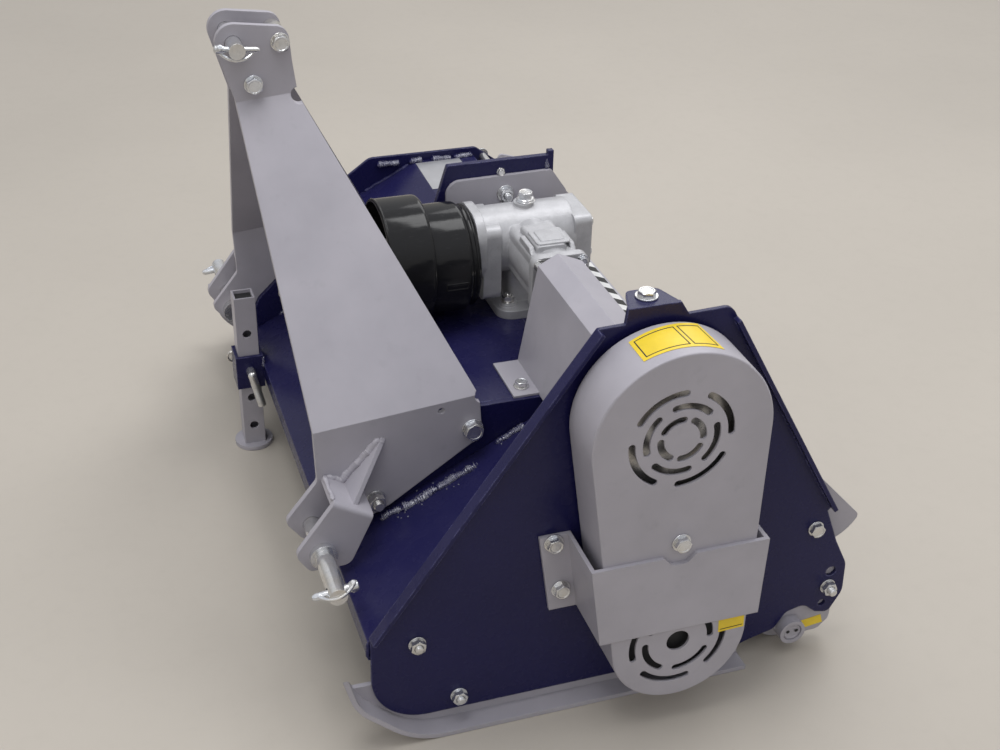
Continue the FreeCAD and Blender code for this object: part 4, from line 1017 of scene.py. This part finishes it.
class MULCHER_OT_tower_welds(Operator):
    """Weld beads of the hitch brackets, the arm brackets and the gearbox wall"""
    bl_idname = "mulcher.tower_welds"
    bl_label = "Tower welds"

    def execute(self, context):
        def near(x, dy, dz):
            return at_side(x, LOWER_AT, dy, dz)

        def foot(x, y):
            return on_slope(x, y, 0.0005)
        grey = Piece("tower_welds", "grey_weld")
        leg, ear = ARM_OUT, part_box("hitch_bracket_left")[1].x - 0.008
        for dy, seed in ((-4.5, 11), (4.5, 15)):
            weld(grey, near(leg + 0.0005, 40 + dy, 54), near(leg + 0.0005, 86 + dy * 0.5, 105),
                 0.0050, seed, up=SIDE, ripple=0.03)
        weld(grey, near(leg + 0.002, 17, 68), near(ear, 17, 68), 0.0026, 12)
        weld(grey, near(leg + 0.001, 20, 66), near(leg + 0.001, 62, 38), 0.0046, 13, up=SIDE,
             ripple=0.04)
        weld(grey, near(leg + 0.004, 38, 52), near(ear - 0.004, 34, 49), 0.0034, 14)
        grey.mirrored().done(slot="grey")
        blue = Piece("bracket_welds", "weld")
        for x0, y0, x1, y1, size, seed in ((0.286, -0.218, 0.293, -0.192, 0.0046, 1),
                                           (0.293, -0.193, 0.296, -0.150, 0.0058, 2),
                                           (0.296, -0.151, 0.295, -0.100, 0.0054, 3),
                                           (0.280, -0.072, 0.279, -0.034, 0.0046, 4)):
            weld(blue, foot(x0, y0), foot(x1, y1), size, seed, 6, OFF_SLOPE)
        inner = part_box("arm_bracket_left")[0].x - 0.0005
        for y0, y1, seed in ((-0.235, -0.20, 31), (-0.165, -0.12, 32), (-0.085, -0.045, 33)):
            weld(blue, foot(inner, y0), foot(inner, y1), 0.0036, seed, up=OFF_SLOPE)
        blue.mirrored()
        low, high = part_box("gearbox_bracket")
        for y0, y1, seed in ((low.y + 0.012, low.y + 0.06, 5), (-0.005, 0.05, 6),
                             (0.075, 0.105, 7)):
            weld(blue, (low.x, y0, DECK_TOP), (low.x, y1, DECK_TOP), 0.0042, seed, 4)
        edge_y = high.y - 0.009
        weld(blue, (high.x, edge_y, DECK_TOP + 0.01), (high.x, edge_y, high.z - 0.012), 0.0028,
             8, up=SIDE)
        blue.done(slot="navy")
        return {"FINISHED"}


# --- stickers
FILM_ROWS = 4
FILM_THICK = 0.0003
FILM_GAP = 0.00015        # keeps a film clear of the sheet under it
PRINT_THICK = 0.0001      # a printed line on a film


def film(where, thick=FILM_THICK, columns=12):
    """Thin film over the unit square; where gives its place from u, v and a lift."""
    verts = [tuple(where(i / columns, j / FILM_ROWS, lift)) for lift in (0.0, thick)
             for j in range(FILM_ROWS + 1) for i in range(columns + 1)]
    w, layer, faces = columns + 1, (columns + 1) * (FILM_ROWS + 1), []
    for j in range(FILM_ROWS):
        for i in range(columns):
            a = j * w + i
            b = a + layer
            faces += [[a, a + w, a + w + 1, a + 1], [b, b + 1, b + w + 1, b + w]]
    edge = list(range(w)) + [j * w + columns for j in range(1, FILM_ROWS + 1)] \
        + [FILM_ROWS * w + i for i in range(columns - 1, -1, -1)] \
        + [j * w for j in range(FILM_ROWS - 1, 0, -1)]
    faces += [[a, b, b + layer, a + layer] for a, b in zip(edge, edge[1:] + edge[:1])]
    return verts, faces


def flat_film(at, u, v, thick=FILM_THICK):
    """Flat film from a corner, u and v its sides."""
    at, u, v = Vector(at), Vector(u), Vector(v)
    face = u.cross(v).normalized()
    return film(lambda a, b, lift: at + u * a + v * b + face * (lift + FILM_GAP), thick)


class MULCHER_OT_stickers(Operator):
    """Blank stickers on the belt guard and the roller arm, and the blank plate on the deck"""
    bl_idname = "mulcher.stickers"
    bl_label = "Blank stickers"

    def execute(self, context):
        self.rim_sticker()
        low = Piece("small_stickers", "yellow")
        at = at_side(GUARD_FACE, ROTOR_AT, 50, 0)
        low.add(flat_film(at, (0, 0.032, 0.001), (0, -0.001, 0.019)))
        line = at + Vector((0.0004, 0.002, 0.0032))
        low.add(flat_film(line, (0, 0.028, 0.001), (0, 0, 0.0010), PRINT_THICK),
                finish="dark")
        low.add(flat_film(at_side(PLATE_IN, ROLLER_AT, 20, -11), (0, 0.030, 0.004),
                          (0, -0.004, 0.013)))
        low.done(slot="grey")
        tag = Piece("deck_plate_film", "silver")
        tag.add(flat_film((-0.346, 0.030, DECK_TOP), (-0.002, 0.074, 0), (-0.106, 0.002, 0)))
        tag.done(slot="grey")
        return {"FINISHED"}

    def rim_sticker(self):
        """Sticker of two bordered fields, wrapped round the belt guard's upper rim."""
        guard_low, guard_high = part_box("belt_guard")
        radius = (guard_high.y - guard_low.y) / 2
        middle_y, middle_z = guard_low.y + radius, guard_high.z - radius

        def wrapped(lift, u0, u1, v0, v1):
            """Places on a cut of the sticker, its ends slanted, u round the rim, v across."""
            def where(a, b, thick):
                u, v = u0 + (u1 - u0) * a, v0 + (v1 - v0) * b
                turn = math.radians(116.5 - u * (46.5 + 3.5 * v))
                r = radius + 0.0002 + lift + thick
                x = GUARD_FACE - 0.056 + 0.040 * v - 0.0085 * u * (1 - 1.5 * v)
                return (x, middle_y + r * math.cos(turn), middle_z + r * math.sin(turn))
            return where
        rim = Piece("rim_sticker", "yellow")
        rim.add(film(wrapped(0.0, 0, 1, 0, 1), columns=28))
        low, high, wide = 0.10, 0.90, 0.03
        for left, right in ((0.05, 0.60), (0.645, 0.96)):
            for cut in ((left, right, low, low + wide), (left, right, high - wide, high),
                        (left, left + wide / 2, low, high),
                        (right - wide / 2, right, low, high)):
                rim.add(film(wrapped(FILM_THICK, *cut), PRINT_THICK, 16), finish="dark")
        rim.done(slot="grey")


STRIPE_PITCH = 0.034
STRIPE_WIDTH = 0.052      # down the hood, over its top strip and on to its slope
STRIPE_SLANT = 0.55
STRIPE_THICK = 0.00025
STRIPE_GAP = 0.0002


class MULCHER_OT_stripes(Operator):
    """Black and white slanted band along the rear hood's top strip"""
    bl_idname = "mulcher.stripes"
    bl_label = "Hood stripes"

    def execute(self, context):
        low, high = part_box("rear_hood")
        top = [at_side(0, HINGE_AT, dy, dz) for dy, dz in ((17.5, 1), (33.5, -2))]
        slope = [at_side(0, HINGE_AT, dy, dz) for dy, dz in ((34, -2), (123, -167))]
        flat = (top[1] - top[0]).length
        off = SIDE.cross(slope[1] - slope[0]).normalized()

        def on_hood(x, s, lift):
            """Point s metres down from the hood's top edge."""
            lift += STRIPE_GAP
            if s < flat:
                return SIDE * x + top[0].lerp(top[1], s / flat) + UP * lift
            t = (s - flat) / (slope[1] - slope[0]).length
            return SIDE * x + slope[0].lerp(slope[1], t) + off * lift
        piece = Piece("hood_stripes")
        x, half = low.x + 0.010, STRIPE_PITCH / 2
        while x < high.x - 0.045:
            for start, finish in ((x, "white"), (x + half, "dark")):
                def band(u, v, lift, start=start):
                    s = v * STRIPE_WIDTH
                    return on_hood(start + u * half + s * STRIPE_SLANT, s, lift)
                piece.add(film(band, STRIPE_THICK, 2), finish=finish)
            x += STRIPE_PITCH
        piece.done("hood_body", "grey", 20)
        return {"FINISHED"}


# --- small parts
class MULCHER_OT_stand_parts(Operator):
    """Ring clip, a dark sheet in the tube's mouth as painted shade, and welds of the parking stand"""
    bl_idname = "mulcher.stand_parts"
    bl_label = "Parking stand parts"

    def execute(self, context):
        low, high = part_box("stand_sleeve")
        middle = (low + high) / 2
        piece = Piece("stand_clip")
        at = Vector((low.x - 0.001, middle.y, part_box("stand_pin")[1].z - 0.0062))
        piece.put(lathe([(0, 0), (0.0045, 0), (0.0045, 0.013), (0.003, 0.015), (0, 0.015)], 20),
                  at, -SIDE)
        hole = at - SIDE * 0.009
        piece.put(lathe([(0, -0.006), (0.0021, -0.006), (0.0021, 0.026), (0.0012, 0.028),
                         (0, 0.028)], 14), hole + REAR * 0.006, (0, -1, 0.25))
        ring = [hole + Vector((-0.002, -0.012 - 0.013 * math.cos(a),
                               -0.010 * math.sin(a) - 0.002)) for a in turns(40)]
        piece.add(pipe(ring, 0.0017, 8))
        piece.done()
        # a dark sheet inside the leg's open top: painted shade in the hollow tube
        mouth = Piece("stand_tube_shade", "dark")
        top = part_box("stand_leg")[1].z
        mouth.put(plate(rounded(0.0295, 0.0295, 0.002), 0.002, 0.0005),
                  (middle.x, middle.y, top - 0.007), UP)
        mouth.done("stand_body", "grey")
        welds = Piece("stand_welds", "weld")
        for s in (-1, 1):
            x, y = middle.x + s * 0.018, high.y - 0.0005
            weld(welds, (x, y, low.z + 0.030), (x, y, high.z - 0.004), 0.0034, 21 + s, up=REAR)
        welds.done(slot="navy")
        return {"FINISHED"}


class MULCHER_OT_roller_parts(Operator):
    """Recessed end caps in the roller's bosses, with dark dots on them as painted shade"""
    bl_idname = "mulcher.roller_parts"
    bl_label = "Roller end caps"

    def execute(self, context):
        piece = Piece("roller_caps", "grey")
        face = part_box("roller_arm_left")[1].x - 0.003
        here = facing(at_side(face, ROLLER_AT), SIDE)
        piece.add(lathe([(0, 0.0004), (0.0040, 0.0004), (0.0044, 0.0010), (0.0085, 0.0010),
                         (0.0092, 0.0018), (0.0110, 0.0018), (0.0116, 0.0010), (0.0116, 0.0)],
                        36), here)
        # two dark dots where the cap shows dark recesses: painted shade
        dot = lathe([(0, -0.0004), (0.0016, 0.0004), (0.0024, 0.0016), (0, 0.0022)], 16)
        for s in (-1, 1):
            piece.add(dot, here @ Matrix.Translation((s * 0.0058, 0.001, 0)), "dark")
        piece.mirrored().done("roller_body", "grey")
        return {"FINISHED"}


class MULCHER_OT_rotor_parts(Operator):
    """Screws and grease nipple of the far bearing housing"""
    bl_idname = "mulcher.rotor_parts"
    bl_label = "Rotor fasteners"

    def execute(self, context):
        piece = Piece("bearing_screws")
        for sy, sz in CORNERS:
            at = at_side(-PLATE_OUT - 0.012, ROTOR_AT, sy * 34.5, sz * 34.5)
            bolt(piece, at, -SIDE, *BEARING_SCREW, 0.3 * sy)
        nipple = lathe([(0, 0), (0.0036, 0), (0.0036, 0.0025), (0.0022, 0.004),
                        (0.0030, 0.006), (0.0014, 0.0075), (0, 0.0078)], 16)
        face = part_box("rotor_bearing_right")[0].x - 0.0001
        piece.add(nipple, facing(at_side(face, ROTOR_AT), -SIDE)
                  @ Matrix.Translation((0.022, 0.0, -0.004)))
        piece.done()
        return {"FINISHED"}


class MULCHER_OT_hinge_parts(Operator):
    """Washers and heads at the ends of the hood's hinge rod"""
    bl_idname = "mulcher.hinge_parts"
    bl_label = "Hinge rod ends"

    def execute(self, context):
        piece = Piece("hinge_washers")
        stack(piece, at_side(PLATE_OUT, HINGE_AT), SIDE, (0, washer(0.011, 0.004, 0.002)),
              (0.002, hexagon(0.0155, 0.0065)))
        piece.mirrored().done()
        return {"FINISHED"}


class MULCHER_PT_panel(Panel):
    """Lists the settings and the pieces"""
    bl_idname = "MULCHER_PT_panel"
    bl_label = "Mulcher"
    bl_space_type = "VIEW_3D"
    bl_region_type = "UI"
    bl_category = "Mulcher"

    def draw(self, context):
        for name in SETTINGS:
            group, box = getattr(context.scene, name), self.layout.box()
            for key in group.__annotations__:
                box.prop(group, key)
        for step in STEPS:
            self.layout.operator(step.bl_idname)


SETTINGS = {"mulcher_paint": PaintSettings, "mulcher_bolts": BoltSettings,
            "mulcher_stage": StageSettings}
STEPS = (MULCHER_OT_stage, MULCHER_OT_dress, MULCHER_OT_plate_bolts, MULCHER_OT_arm_bolts,
         MULCHER_OT_top_bolts, MULCHER_OT_linchpins, MULCHER_OT_guard_bolts,
         MULCHER_OT_tension, MULCHER_OT_deck_bolts, MULCHER_OT_bell, MULCHER_OT_casting,
         MULCHER_OT_welds, MULCHER_OT_tower_welds, MULCHER_OT_stickers, MULCHER_OT_stripes,
         MULCHER_OT_stand_parts, MULCHER_OT_roller_parts, MULCHER_OT_rotor_parts,
         MULCHER_OT_hinge_parts)


def register():
    for cls in (*SETTINGS.values(), *STEPS, MULCHER_PT_panel):
        bpy.utils.register_class(cls)
    for name, cls in SETTINGS.items():
        setattr(bpy.types.Scene, name, PointerProperty(type=cls))


def unregister():
    for name in SETTINGS:
        delattr(bpy.types.Scene, name)
    for cls in (MULCHER_PT_panel, *reversed(STEPS), *reversed(tuple(SETTINGS.values()))):
        bpy.utils.unregister_class(cls)


def main():
    register()
    for step in STEPS:
        group, name = step.bl_idname.split(".")
        getattr(getattr(bpy.ops, group), name)()


if __name__ == "__main__":
    main()
